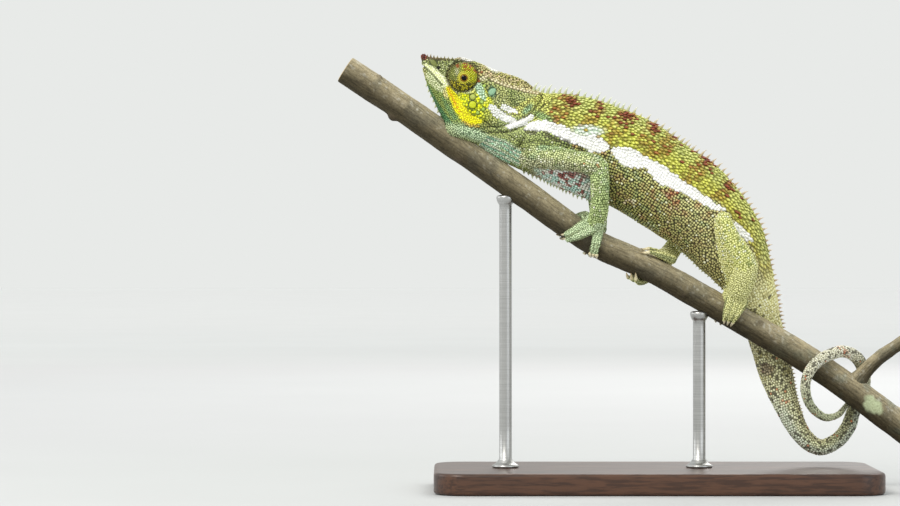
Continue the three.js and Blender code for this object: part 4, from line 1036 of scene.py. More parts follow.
def body_tones(uv, place, grain, luck):
    """Scale tip and ground tones of neck, trunk and tail."""
    row, up = place["row"], np.sin(place["angle"])
    tip, ground = along_tones(row, TRUNK_TONES)
    lay, paint, few = painter(tip, ground, luck)
    under = -above_back(uv)
    # Painted shade: the undersides of neck, trunk and tail are darkened.
    lay(ease(0.1, -0.75, up), tip * srgb(192, 190, 166), ground * srgb(186, 186, 164))
    paint(ease(9, 2, np.abs(under - 9 + 4 * grain)) * 0.4 * (row > 2.4), (150, 146, 88), (66, 62, 26))
    paint(0.6 * (luck < 0.1) * (row > 1.8), (168, 154, 96), (86, 72, 34))
    paint(0.7 * few(1, 0.07), (236, 240, 208), (120, 124, 80))
    blots = noise(place["spot"], 2.6, 61, 2)
    rusty = 0.25 + 0.6 * ease(0, 5, under) * ease(20, 10, under) * (row > 2.2)
    rusty += 0.5 * spot(uv, 670, 192, 26, 12, 0.5, 0.5)
    rusty = rusty * ease(0.1, 0.4, blots) * (row > 1.8) * mix(1, 0.3, ease(6.2, 7.4, row)) * (row < 9.6)
    paint(0.8 * rusty, (196, 158, 112), (122, 58, 28))
    paint(0.8 * rusty * few(3, 0.35), (164, 84, 50), (108, 46, 24))
    paint(0.6 * ease(-0.15, -0.45, blots) * (row > 1.8) * (row < 7.6), (156, 170, 112), (62, 80, 38))
    above = ease(-2, 3, 3 * grain - under)
    lay(above, *along_tones(row, BACK_TONES))
    paint(0.8 * above * few(4, 0.13), (158, 148, 68), (90, 80, 24))
    # Painted shade in the valleys between the rows of scales along the back.
    paint(0.5 * above * ease(0.1, 0.9, np.cos(1.36 * under + 2.2 * grain)) * (row > 1.8) * (row < 9.6),
          (196, 192, 96), (108, 104, 38))
    paint(0.6 * above * ease(0.55, 0.9, up) * (row > 1.8) * (row < 9), (226, 236, 152), (142, 152, 80))
    bar = strokes(uv, BARS, 5) * above * ease(-0.8, -0.1, grain)
    paint(0.8 * bar * few(5, 0.6), (188, 158, 66), (128, 100, 26))
    paint(0.8 * bar * few(6, 0.15), (176, 96, 52), (116, 58, 24))
    cluster = np.max([spot(uv, *c, 0.6) for c in CLUSTERS], 0)
    crown = 0.08 * above * ease(0.45, 0.95, up) * ease(2, 3, row) * ease(8.6, 7, row)
    paint(0.4 * cluster, (204, 156, 86), (132, 84, 34))
    paint(0.92 * few(7, np.maximum(0.56 * cluster, crown)), (146, 50, 34), (96, 38, 20))
    paint(spot(uv, 587, 131.5, 15.5, 5.4, 0.4, 0.05) * few(8, 0.96), (244, 255, 244), (206, 226, 204))
    # The throat and neck are pale olive with teal lines towards the bark; the dark lines in the folds are
    # painted shade.
    throat = strokes(uv, THROAT_FOLDS, 4.4) * ease(556, 530, uv[:, 0])
    lines = 0.5 + 0.5 * np.sin((uv[:, 1] * 0.86 - uv[:, 0] * 0.42) * 1.5 + 1.2 * grain)
    paint(throat * lines, (168, 228, 196), (120, 172, 146))
    paint(throat * (1 - lines), (250, 255, 236), (204, 224, 188))
    paint(0.7 * spot(uv, 543, 118, 12, 4, 0.5, 0.5), (128, 176, 126), (74, 110, 66))
    paint(0.75 * spot(uv, 527, 110, 7, 3, 0.5, -0.8), (150, 196, 160), (84, 120, 92))
    # Painted shade in the throat folds, neck folds and wrinkles.
    paint(0.5 * strokes(uv, THROAT_FOLDS, 1.6), (110, 140, 116), (44, 60, 48))
    paint(0.8 * strokes(uv, NECK_FOLDS, 1.7), (88, 88, 52), (36, 38, 20))
    paint(0.6 * strokes(uv, WRINKLES, 1.5), (96, 100, 60), (44, 46, 26))
    white = strokes(uv + 1.5 * grain[:, None], STRIPE, 1.4)
    paint(white > 0.3 + 0.4 * luck, (255, 255, 255), (254, 255, 252))
    dotted = stroke(uv, [(524.7, 132, 1.2), (544.7, 134.7, 1.8), (567, 144, 2.4), (579, 150.7, 2)], 2.4)
    paint(0.8 * dotted * few(9, 0.6), (88, 84, 48), (46, 44, 24))
    # The pale underarm is partly its own pale bluish grey and partly painted light, lifted where it lies in
    # the arm's shade.
    underarm = spot(uv, 568, 184, 32, 15, 0.5, 0.45) * ease(20, 30, under)
    veins = noise(place["spot"], 1.9, 63, 2)
    paint(0.9 * underarm, (255, 255, 250), (206, 208, 190))
    paint(0.85 * underarm * ease(0.05, 0.2, veins), (188, 232, 218), (118, 156, 146))
    paint(0.9 * underarm * ease(-0.2, -0.32, veins), (150, 48, 40), (76, 28, 24))
    # The tail runs from yellow-olive through near-black to a pale grey coil, with dark specks; where it lies
    # in shade its tones are made paler as painted light.
    tail_tip, tail_ground = along_tones(row, TAIL_TONES)
    for angle, shift, start, end, over, under_tone, shares in TAIL_SIDES:
        side = (ease(*angle, up + shift) * ease(*start, row) * ease(*end, row))[:, None]
        tail_tip = mix(tail_tip, srgb(*over), shares[0] * side)
        tail_ground = mix(tail_ground, srgb(*under_tone), shares[1] * side)
    tail = ease(8.6, 10.4, row + 0.4 * grain)
    lay(tail, tail_tip, tail_ground)
    on_tail = tail > 0.8
    paint(0.85 * on_tail * few(11, 0.07 + 0.1 * ease(11, 13, row)), (66, 60, 44), (50, 46, 34))
    paint(0.6 * on_tail * (row < 13) * few(14, 0.22), (202, 194, 130), (160, 152, 92))
    paint(0.8 * on_tail * (row > 10.5) * few(12, 0.02), (206, 128, 84), (140, 76, 46))
    paint(0.7 * spot(uv, 769, 370, 7, 6, 0.4), (120, 92, 78), (62, 46, 40))
    paint(0.7 * np.maximum(spot(uv, 787, 402, 4, 4, 0.5), spot(uv, 842, 351, 8, 3, 0.5, 0.6)) * few(13, 0.5),
          (214, 120, 76), (140, 70, 44))
    return tip, ground


def head_tones(uv, place, grain, luck):
    """Scale tip and ground tones of the head."""
    tip, ground = 0 * place["way"] + srgb(158, 164, 92), 0 * place["way"] + srgb(84, 90, 38)
    _, paint, few = painter(tip, ground, luck)
    u, v = uv.T
    crest_v = np.interp(u, [420, 485, 506, 524, 543, 560], [64, 77, 86, 91, 95, 100])
    casque = ease(1, -2, v - crest_v) * ease(474, 486, u)
    paint(casque, (208, 198, 144), (118, 108, 64))
    paint(casque * few(1, 0.25), (222, 200, 158), (124, 104, 70))
    paint(casque * few(2, 0.2), (168, 168, 88), (84, 84, 34))
    paint(casque * ease(-4, -9, v - crest_v) * few(3, 0.6), (184, 180, 98), (98, 94, 42))
    below = ease(0, 3, v - crest_v) * ease(484, 494, u)
    paint(below, (184, 190, 120), (104, 112, 60))
    paint(below * few(1, 0.2), (202, 208, 150), (104, 112, 60))
    paint(0.6 * below * ease(-0.1, 0.5, grain), (140, 158, 92), (70, 84, 38))
    paint(ease(470, 456, u), (146, 156, 92), (74, 84, 40))
    paint(0.8 * ease(470, 456, u) * few(4, 0.25), (196, 204, 150), (104, 112, 64))
    paint(ease(62, 58, v) * ease(484, 474, u), (192, 176, 140), (112, 98, 66))
    paint(ease(455, 448, u) * ease(66, 72, v) * ease(446, 440, u - (v - 78)), (140, 160, 66), (70, 86, 22))
    # Lips, chin and throat: a pale upper lip, partly painted light against the shade of the mouth groove, a
    # white-green lower lip, partly a painted highlight, and a teal chin.
    paint(stroke(uv, [(426, 65.5, 1), (433, 71, 2.2), (440, 78.4, 2.8), (446, 85, 2.6)], 1.8),
          (252, 255, 216), (244, 252, 188))
    paint(stroke(uv, [(424, 72, 3), (430, 82, 5), (436, 92, 6), (446, 108, 8), (456, 122, 7)], 2.2),
          (150, 168, 88), (86, 108, 46))
    paint(0.9 * stroke(uv, [(427.5, 86, 0.4), (431.5, 97, 1.6), (437, 108, 2.6), (444, 119, 3),
                            (451, 127, 2)], 2.4), (80, 138, 92), (42, 84, 52))
    paint(0.8 * stroke(uv, [(443, 98, 0.6), (449, 110, 1.6), (455, 119, 1.6)], 1.4), (120, 158, 100),
          (68, 100, 54))
    paint(spot(uv, 424, 72, 2.8, 7, 0.5, -0.3), (204, 206, 140), (128, 130, 70))
    # White-green lower lip: partly a painted highlight.
    paint(stroke(uv, [(428, 75, 1.6), (433, 81, 3.4), (438, 86, 3.6), (442, 90, 2)], 1.8), (222, 230, 184),
          (170, 182, 124))
    paint(spot(uv, 446, 94, 2.6, 5, 0.4, -0.2), (238, 230, 160), (176, 166, 92))
    paint(spot(uv, 452, 131, 12, 6, 0.5, 0.4), (190, 204, 156), (108, 122, 82))
    paint(0.9 * spot(uv, 474, 135, 20, 6, 0.6, 0.35), (206, 230, 190), (132, 160, 122))
    # Painted shade in the fold behind the lips.
    paint(0.6 * stroke(uv, LIP_FOLD[5:], 1.8), (80, 110, 70), (36, 54, 30))
    # Cheek and the yellow stripe behind the mouth.
    cheek = spot(uv, 474, 106, 18, 17, 0.25, 0.3)
    paint(cheek, (250, 255, 6), (192, 208, 0))
    paint(0.8 * cheek * few(5, 0.25), (232, 236, 96), (140, 148, 40))
    paint(0.7 * cheek * few(6, 0.15), (140, 168, 56), (76, 98, 20))
    paint(spot(uv, 494, 114, 13, 8, 0.5) * 0.8, (184, 194, 96), (108, 118, 48))
    paint(stroke(uv, [(477, 86, 2.6), (480, 92, 3.4), (484, 99, 1.6)], 2), (202, 234, 202), (124, 156, 118))
    paint(stroke(uv, [(448.5, 89, 1.8), (453.5, 98, 3.4), (459, 108, 4.6), (465, 116, 5), (472, 121.5, 3.6),
                      (480, 122.5, 1.4)], 1.3), (240, 238, 0), (224, 210, 0))
    paint(stroke(uv, [(448.4, 88, 0.2), (451.6, 96, 0.5), (455.4, 105, 0.5), (459.5, 112.5, 0.2)], 0.8),
          (250, 186, 24), (214, 146, 10))
    paint(0.6 * stroke(uv, [(463, 122, 0.6), (470, 126, 0.8), (478, 127, 0.4)], 1.6), (230, 190, 60),
          (150, 110, 20))
    # Painted shade in the cheek fold.
    paint(0.85 * stroke(uv, CHEEK_FOLD, 1.5), (88, 96, 30), (44, 48, 12))
    paint(spot(uv, 472.5, 105.7, 5.2, 5.2, 0.2), (96, 112, 26), (44, 56, 10))
    paint(spot(uv, 472.5, 105.7, 3.4, 3.4, 0.2), (200, 210, 28), (172, 188, 12))
    paint(spot(uv, 472.7, 97.8, 4.6, 4.4, 0.2), (112, 122, 44), (52, 60, 18))
    paint(spot(uv, 472.7, 97.8, 3.1, 2.9, 0.2), (172, 184, 84), (132, 146, 52))
    for where in ((481.5, 103), (483, 110), (484, 86.8), (477.5, 113.5)):
        paint(spot(uv, *where, 2.2, 2.2, 0.3), (176, 206, 96), (84, 104, 34))
    paint(spot(uv, 491.7, 92.7, 4.8, 6.4, 0.2), (96, 116, 74), (44, 58, 34))
    paint(spot(uv, 491.7, 92.7, 3.4, 5, 0.2), (150, 192, 156), (96, 136, 104))
    for where in ((475, 72.4, 3, 1.6), (480, 73.2, 2.2, 1.4), (477.4, 81, 2.6, 2.8)):
        paint(spot(uv, *where, 0.4), (178, 92, 34), (108, 50, 14))
    paint(0.85 * spot(uv, 468.5, 91.5, 6, 2.6, 0.4, -0.2), (216, 222, 190), (128, 134, 92))
    paint(spot(uv, 467, 59.6, 6, 2.6, 0.5, 0.15), (250, 250, 246), (206, 206, 190))
    paint(spot(uv, 492, 68, 7, 3.2, 0.5, 0.6), (250, 252, 246), (206, 208, 190))
    paint(spot(uv, 483, 79.5, 4, 2, 0.5), (216, 212, 176), (128, 122, 84))
    paint(stroke(uv, LATERAL_CREST, 2.8) * few(7, 0.86), (255, 250, 212), (208, 192, 148))
    for knots in STRIPE[:2]:
        paint(stroke(uv + 1.2 * grain[:, None], knots, 1.4) > 0.3 + 0.4 * luck, (255, 255, 252),
              (232, 236, 224))
    paint(spot(uv, 424.2, 56.3, 3.4, 3.8, 0.3), (138, 66, 52), (78, 36, 28))
    paint(spot(uv, 433.5, 63.2, 5.4, 3.8, 0.2), (118, 126, 62), (66, 76, 30))
    # Painted shade in the mouth slit and the nostril.
    paint(0.85 * stroke(uv, MOUTH_LINE, 0.9), (66, 62, 34), (24, 22, 12))
    paint(spot(uv, *NOSTRIL, 2.6, 1.7, 0.3, 0.2), (30, 26, 18), (14, 11, 8))
    # Painted shade in the neck folds and wrinkles.
    paint(0.8 * strokes(uv, NECK_FOLDS, 1.6), (82, 86, 50), (34, 36, 18))
    paint(0.6 * strokes(uv, WRINKLES, 1.5), (96, 100, 60), (44, 46, 26))
    # Painted shade: a dark ring in the crease round the foot of the eye turret.
    orbit = np.hypot(u - 462.3, v - 77.2)
    paint(0.75 * ease(17.4, 15.6, orbit) * ease(14.0, 14.8, orbit), (98, 84, 40), (40, 34, 14))
    return tip, ground


def turret_tones(spots, luck):
    """Tones of the eye turrets: yellow above and behind, olive in front with a painted highlight high on the
    front, dark with yellow dots below.
    """
    away = spots - head_point(EYE["a"], EYE["b"], 0)
    share = np.clip((np.abs(spots[:, 1]) - EYE["side"]) / EYE["height"], 0, 1.1) ** 2
    back, up = away[:, 0] - share * EYE["gaze"][0], away[:, 2] - share * EYE["gaze"][1]
    r = np.hypot(back, up)
    turn = np.arctan2(up, back)
    tip, ground = 0 * spots + srgb(222, 226, 12), 0 * spots + srgb(134, 138, 4)
    _, paint, few = painter(tip, ground, luck)
    paint(0.8 * few(1, 0.3), (250, 252, 90), (160, 160, 20))
    paint(0.7 * few(2, 0.12), (160, 176, 40), (80, 90, 14))
    paint(ease(-1.2, -3.6, back - 0.3 * up), (150, 160, 66), (84, 92, 30))
    paint(ease(-1.2, -3.6, back - 0.3 * up) * few(3, 0.3), (206, 210, 120), (92, 100, 36))
    # A painted highlight: a pale patch high on the turret's front.
    paint(0.9 * np.exp(-(((back + 3.1) / 0.8) ** 2) - ((up - 2.6) / 1.7) ** 2), (226, 228, 196),
          (150, 152, 104))
    lower = ease(-0.9, -3.0, up + 0.12 * back)
    paint(lower, (92, 88, 24), (44, 42, 10))
    paint(0.95 * lower * few(4, 0.5), (234, 222, 50), (132, 126, 22))
    for at, half, near in ((1.42, 0.13, 2.9), (2.05, 0.08, 4.6), (0.95, 0.08, 3.4), (0.45, 0.12, 4.8)):
        off = np.abs((turn - at + np.pi) % (2 * np.pi) - np.pi)
        paint(0.9 * ease(half + 0.12, half - 0.02, off) * ease(near, near + 0.8, r) * few(5, 0.85),
              (196, 100, 32), (116, 50, 12))
    paint(0.8 * ease(3.4, 2.4, r), (236, 230, 80), (178, 172, 36))
    # Painted shade at the turret's foot, in the crease against the head.
    paint(0.8 * ease(6.1, 6.6, r), (98, 76, 34), (44, 34, 14))
    paint(ease(2.3, 2.1, r), (240, 232, 90), (228, 218, 60))
    # Painted shade where the lid dips into the opening.
    paint(ease(1.8, 1.68, r), (70, 56, 20), (52, 40, 14))
    return tip, ground


def limb_tones(uv, spots, place, grain, luck):
    """Tones of limbs and feet."""
    arm, leg, upper, fore, hind = (named(place, word) for word in ("arm", "leg", "upper", "fore", "hind"))
    up = np.sin(place["angle"])
    inner = ease(0.1, -0.5, up)
    toes = (fore | hind) & ~named(place, "palm")
    tip, ground = 0 * spots + srgb(206, 216, 160), 0 * spots + srgb(124, 136, 82)
    _, paint, few = painter(tip, ground, luck)
    paint(arm & upper, (214, 222, 162), (130, 142, 82))
    paint(arm * upper * ease(0.4, 0.9, up), (188, 204, 140), (104, 120, 64))
    paint(arm & ~upper, (198, 216, 150), (116, 136, 74))
    paint(arm * inner * upper, (192, 194, 152), (96, 98, 62))
    paint(fore, (210, 228, 184), (156, 176, 132))
    paint(leg & upper, (255, 255, 178), (188, 186, 98))
    paint(leg & ~upper, (238, 242, 162), (182, 186, 92))
    paint(hind, (234, 234, 168), (176, 176, 106))
    # Painted shade: dark lines on the toes' sides, between neighbouring toes.
    paint(0.75 * toes * ease(0.62, 0.86, np.abs(np.cos(place["angle"]))), (136, 146, 98), (84, 92, 56))
    paint(0.6 * (arm | leg) * ease(0.2, 0.8, grain), (236, 240, 202), (160, 168, 112))
    paint(0.55 * arm * ease(0.1, 0.5, noise(spots, 7, 88, 2)), (168, 204, 164), (96, 130, 92))
    paint(0.7 * (arm | leg) * few(1, 0.14), (140, 156, 92), (78, 92, 44))
    paint(0.7 * (arm | leg) * few(2, 0.1), (244, 248, 222), (170, 178, 130))
    paint(0.8 * (arm & upper) * few(3, 0.012), (178, 116, 66), (104, 62, 30))
    return tip, ground


def on_turret(spots):
    """1 for points of the eye turrets."""
    a, b = head_place(spots)
    return (np.hypot(a - EYE["a"], b - EYE["b"]) < EYE["radius"] - 0.05) & (np.abs(spots[:, 1]) > EYE["side"]
        - 0.7)


def markings(spots, place, seed):
    """Scale tip and ground tones at any points of the animal."""
    uv = side_map(spots)
    grain = noise(spots, 4.2, 3, 2)
    luck = np.random.default_rng(seed).random(len(spots))
    tip, ground = limb_tones(uv, spots, place, grain, luck)
    for chosen, tones in ((place["run"] == 0, head_tones), (place["run"] == 1, body_tones)):
        part = {key: value[chosen] for key, value in place.items()}
        tip[chosen], ground[chosen] = tones(uv[chosen], part, grain[chosen], luck[chosen])
    eye = on_turret(spots)
    tip[eye], ground[eye] = turret_tones(spots[eye], luck[eye])
    return tip, ground


vertex_place = places_of(points)
turrets = [shell(turret_rings(side, -0.3)) for side in (-1, 1)]
turret_points = np.concatenate([t[0] for t in turrets])
# The skin takes the ground tone darkened by a tenth: partly its own colour, partly painted shade between the
# scales.
fused_tones = markings(points, vertex_place, 1)[1] * 0.9
turret_tone = turret_tones(turret_points, np.full(len(turret_points), 0.3))[1]
skin_points, skin_faces = joined([(points, [quads, np.zeros((0, 3), int)]), *turrets])


def skin_cells(tree, place):
    """Round cells of fine granules: the distance from each cell's middle."""
    return node(tree, "ShaderNodeTexVoronoi", {"Vector": place, "Scale": 2600},
                feature="SMOOTH_F1").outputs["Distance"]


skin_finish = surface("reptile_skin", (0.46, 0.66), 0.4, skin_cells, ((0.1, WHITE), (0.7, (188, 186, 176))),
                      0.8, bump=(0.3, 0.0001), invert=True)
skin = piece("skin", skin_points, skin_faces, skin_finish, np.concatenate([fused_tones, turret_tone]))
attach(skin, "root")
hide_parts("head", "jaw", "casque", "eye_turret_left", "eye_turret_right", "neck", "trunk_front",
            "trunk_rear", *[f"tail_{k}" for k in range(1, 6)], *LIMBS, *[f"{name}_foot" for name in FEET])


# ================================================================ scales
# Chameleon skin carries separate scales of one hard layer with the skin: square granules in rows on the
# flanks, large backward thorns on the back, polygonal plates on head and limbs, rings of fine granules on
# the eye turrets.

tree_of_skin = BVHTree.FromPolygons(points.tolist(), quads.tolist())
luck = np.random.default_rng(5)
TURRET_RUN = 100  # added to a turret scale's run number to give the turrets a strip of their own on the map
PATCH = 0.0015  # radius of a scale's patch on the map
# Rings of scales: the spine's rows they cover, their step and the scales' distance in mm, or their count.
FLANK_RINGS = {"rows": (1.7, 9.6), "step": 1.3, "count": 84}
BACK_RINGS = {"rows": (1.5, 9.8), "step": 1.62, "apart": 1.56}
TAIL_ROWS = (9.2, 32)
LIMB_STEP, PALM_STEP, TOE_STEP = 1.08, 0.98, 0.8
TURRET_RINGS = {"start": 2.35, "first": 0.4, "step": 0.82, "apart": 0.84, "size": 0.42, "high": 0.3}
ROOM = 0.42  # least distance of two scales as a share of the sum of their spacings


def on_skin(spots):
    """The nearest places on the fused skin, the faces they lie on and how far each point moved."""
    hits = [tree_of_skin.find_nearest(s) for s in spots.tolist()]
    return tuple(np.array([hit[k] for hit in hits]) for k in (0, 2, 3))


def on_side(uv, side):
    """The places, and the faces there, where level lines through the side map meet the skin from the left
    (-1) or the right (1). A line that misses it gives the nearest place."""
    found = []
    x, z = (uv[:, 0] - MAP["u"]) * MAP["step"], MAP["z"] + (MAP["v"] - uv[:, 1]) * MAP["step"]
    for p, q in zip(x, z):
        hit = tree_of_skin.ray_cast((p, side * 60, q), (0, -side, 0))
        on_near_half = hit[0] and hit[0][1] * side > 0
        found.append(hit if on_near_half else tree_of_skin.find_nearest((p, side * 2.5, q)))
    return tuple(np.array([hit[k] for hit in found]) for k in (0, 2))


def ringed(rings, steps, count=None):
    """Roots spread evenly round each ring: `count` of them, or `steps` mm apart with every other ring half
    a step on."""
    spots = []
    for number, ring in enumerate(np.concatenate([rings, rings[:, :1]], 1)):
        way = way_along(ring)
        many = count or max(3, int(round(way[-1] / steps[number])))
        at = (np.arange(many) + 0.5 * (number % 2) * (count is None)) / many * way[-1]
        spots.append(np.stack([np.interp(at, way, ring[:, k]) for k in range(3)], 1))
    return np.concatenate(spots)


def stepped(read, start, end, spacing):
    """Rows of a run, from start to end, that are `spacing` of the row apart in mm."""
    rows = np.linspace(start, end, 800)
    pace = np.linalg.norm(np.diff(read(rows)[:, :3], axis=0), axis=1)
    count = np.concatenate([[0], np.cumsum(pace / spacing(rows)[1:])])
    return np.interp(np.arange(int(count[-1]) + 1), count, rows)


tail_step = line([(9, 1.3), (12, 1.25), (15, 1.12), (19, 1.0), (24, 0.88), (28, 0.78), (32, 0.62)])
rows = stepped(spine, *FLANK_RINGS["rows"], lambda r: FLANK_RINGS["step"] + 0 * r)
rings = sweep(spine, rows, 240, narrowing=BACK_NARROWING, grow=-COAT_DEPTH)
flank_roots = ringed(rings, None, FLANK_RINGS["count"])
rows = stepped(spine, *BACK_RINGS["rows"], lambda r: BACK_RINGS["step"] + 0 * r)
rings = sweep(spine, rows, 240, narrowing=BACK_NARROWING, grow=-COAT_DEPTH)
back_roots = ringed(rings, np.full(len(rows), BACK_RINGS["apart"]))
rows = stepped(spine, *TAIL_ROWS, tail_step)
tail_roots = ringed(sweep(spine, rows, 120, grow=-COAT_DEPTH), tail_step(rows))
lattices, runs = [flank_roots, back_roots, tail_roots], [1, 1, 1]
for number, (name, (read, end, across)) in enumerate(list(RUNS.items())[1:], 2):
    spacing = LIMB_STEP if "arm" in name or "leg" in name else PALM_STEP if "palm" in name else TOE_STEP
    rows = stepped(read, 0, end, lambda r: spacing + 0 * r)
    rings = sweep(read, rows, 80, across, grow=-COAT_DEPTH * 0.7)
    lattices.append(ringed(rings, np.full(len(rows), spacing)))
    runs.append(number)
FLANK, BACK = 0, 1  # numbers of the lattices that share the trunk


def coat_sizes(spots, uv, place):
    """Spacing, height and kind (0 granule, 1 thorn, 2 plate) of the scales at any points of the skin."""
    row, body = place["row"], place["run"] == 1
    head, palm = place["run"] == 0, named(place, "palm")
    back = body & (above_back(uv) > 0) & (row > 1.5) & (row < 9.6)
    on_head = (mix(0.74, 0.92, ease(440, 490, uv[:, 0])) + 0.2 * spot(uv, 474, 106, 15, 14, 0.3)
               + 0.14 * spot(uv, 505, 82, 30, 9, 0.4, 0.3))
    on_neck = np.interp(row, [0, 1.2, 2], [0.88, 0.92, 1.1])
    limb = named(place, "arm") | named(place, "leg")
    areas = [head, back, body & (row < 2), body & (row < 9.2), body, limb, palm]
    spacing = np.select(areas, [on_head, 1.6, on_neck, 1.24, tail_step(row), 1.06, 0.92], 0.8)
    height = np.select(areas, [0.27, 0.72, 0.3, 0.5, 0.3, 0.32, 0.27], 0.24)
    return spacing, height, np.select([head, back], [2, 1], 0)


# Scales first stand in rings along each part's run, a little out of line. Places at random on the skin fill
# what the rings leave bare, and each scale grows until it nearly meets its neighbours.
spots = np.concatenate(lattices)
counts = [len(part) for part in lattices]
own_run, lattice = np.repeat(runs, counts), np.repeat(np.arange(len(lattices)), counts)
spots = spots + luck.normal(size=spots.shape) * np.where(lattice == BACK, 0.3, 0.13)[:, None]
roots, face, moved = on_skin(spots)
above = above_back(side_map(roots))
keep = (moved < 1.6) & (vertex_place["run"][quads[face, 0]] == own_run)
keep &= ((lattice != FLANK) | (above < 0.5)) & ((lattice != BACK) | (above > -0.5))
roots, face = roots[keep], face[keep]
extra = luck.permutation(np.repeat(np.arange(len(quads)), 3))
s, t = luck.random((2, len(extra), 1))
corner = points[quads[extra]]
fill = mix(mix(corner[:, 0], corner[:, 1], s), mix(corner[:, 3], corner[:, 2], s), t)
roots = np.concatenate([roots, fill])
face = np.concatenate([face, extra])
spacing, height, kind = (part[quads[face, 0]] for part in coat_sizes(points, side_map(points), vertex_place))
filler = np.arange(len(roots)) > keep.sum()
spacing = spacing * np.where(kind == 1, 1, 1 + 0.12 * luck.normal(size=len(roots)).clip(-1.5, 1.5) * filler)

# Larger scales with a place of their own: rows along the lips, round plates on cheek and temple, cones on
# the ridges of snout and helmet. Each is (u, v, half length, half width, height, kind, lift of its axis).
ROUND_PLATES = [
    (472.5, 105.7, 1.75, 1.75, 0.62), (472.7, 97.8, 1.5, 1.4, 0.5), (481.5, 103, 0.85, 0.85, 0.5),
    (483, 110, 0.85, 0.85, 0.5), (484, 86.8, 0.8, 0.8, 0.5), (477.5, 113.5, 0.8, 0.8, 0.5),
    (491.7, 92.7, 1.5, 2.3, 0.5), (433.5, 63.2, 2.1, 1.3, 0.34)]
SNOUT_CONES = [  # u, v, height
    (427.6, 58, 1.9), (430.8, 58, 2.0), (434, 58.6, 1.8), (437.6, 59.2, 1.9), (441, 59.8, 1.6),
    (444.6, 59.8, 1.8), (448.4, 60, 1.6), (452.6, 60.4, 1.5), (456.4, 61, 1.3), (423.4, 57.2, 0.9),
    (424.8, 55.6, 1.0), (423.6, 59.6, 0.8)]
THROAT_CONES = [(437, 120), (441, 125.5), (445, 130), (450, 133.5), (456, 135), (462, 135), (468, 134.5)]


def along_line(knots, start, step):
    """Places every step along a line of the side map."""
    knots = np.array(knots)[:, :2]
    way = np.concatenate([[0], np.cumsum(np.hypot(*np.diff(knots, axis=0).T))])
    at = np.arange(start, way[-1], step)
    return np.stack([np.interp(at, way, knots[:, k]) for k in (0, 1)], 1)


OWN = [(u + 0.72 * offset, v - 0.7 * offset, 0.6, 0.5, 0.38, 2, 0)
       for offset in (1.9, -1.8) for u, v in along_line(MOUTH_LINE, 1.5, 2.35)]
OWN += [(*plate, 4, 0) for plate in ROUND_PLATES]
OWN += [(u, v, 0.62, 0.5, tall, 3, 0.85) for u, v, tall in SNOUT_CONES]
OWN += [(u, v, 0.62, 0.55, 1.3, 3, -0.85) for u, v in THROAT_CONES]
OWN += [(u, v, 0.7, 0.64, 0.5, 1, 0.4) for u, v in along_line(LATERAL_CREST, 0, 3.4)]
OWN = np.array(OWN)
own_hits = [on_side(OWN[:, :2], side) for side in (-1, 1)]
own_roots, own_face = (np.concatenate(part) for part in zip(*own_hits))
OWN = np.concatenate([OWN, OWN])


def finder_of(spots):
    """A search tree of places."""
    finder = KDTree(len(spots))
    for number, place in enumerate(spots.tolist()):
        finder.insert(place, number)
    finder.balance()
    return finder


uv = side_map(roots)
in_slit = (stroke(uv, MOUTH_LINE, 2.0) > 0.3) | (spot(uv, *NOSTRIL, 2.8, 2, 0.3) > 0.5)
free = ~(on_turret(roots) | (in_slit & (vertex_place["run"][quads[face, 0]] == 0)))
finder = finder_of(roots)
for spot_of, size in zip(own_roots, OWN[:, 2:4].mean(1)):
    for _, other, gap in finder.find_range(spot_of, size + 0.9):
        if gap < size + ROOM * spacing[other]:
            free[other] = False
chosen = np.zeros(len(roots), bool)
for number in range(len(roots)):
    if free[number]:
        chosen[number] = True
        for _, other, gap in finder.find_range(roots[number], 0.9 * spacing[number]):
            if gap < ROOM * (spacing[number] + spacing[other]):
                free[other] = False
roots, face, spacing, height, kind = (v[chosen] for v in (roots, face, spacing, height, kind))
finder = finder_of(np.concatenate([roots, own_roots]))
near = np.array([[gap for _, _, gap in finder.find_n(spot_of, 5)][2:] for spot_of in roots.tolist()]).mean(1)
size = np.clip(0.5 * near, ROOM * spacing, 0.64 * spacing)

# Shapes of the kinds of scale: sides, then rings as (share of radius, share of height, share of lean). They
# are 0 granule, 1 thorn, 2 plate, 3 cone and 4 round plate.
KINDS = {
    0: (6, [(1.0, -0.4, 0), (0.94, 0.34, 0), (0.56, 0.86, 0.12), (0, 1, 0.2)]),
    1: (6, [(1.0, -0.3, 0), (0.88, 0.32, 0.1), (0.46, 0.74, 0.7), (0, 0.96, 1.6)]),
    2: (6, [(1.0, -0.5, 0), (0.96, 0.42, 0), (0.66, 0.9, 0), (0, 1, 0)]),
    3: (8, [(1.0, -0.3, 0), (0.9, 0.14, 0.0), (0.6, 0.45, 0.03), (0.34, 0.74, 0.1), (0.12, 0.95, 0.2),
            (0, 1, 0.23)]),
    4: (16, [(1.0, -0.4, 0), (0.98, 0.4, 0), (0.86, 0.78, 0), (0.5, 0.96, 0), (0, 1, 0)])}


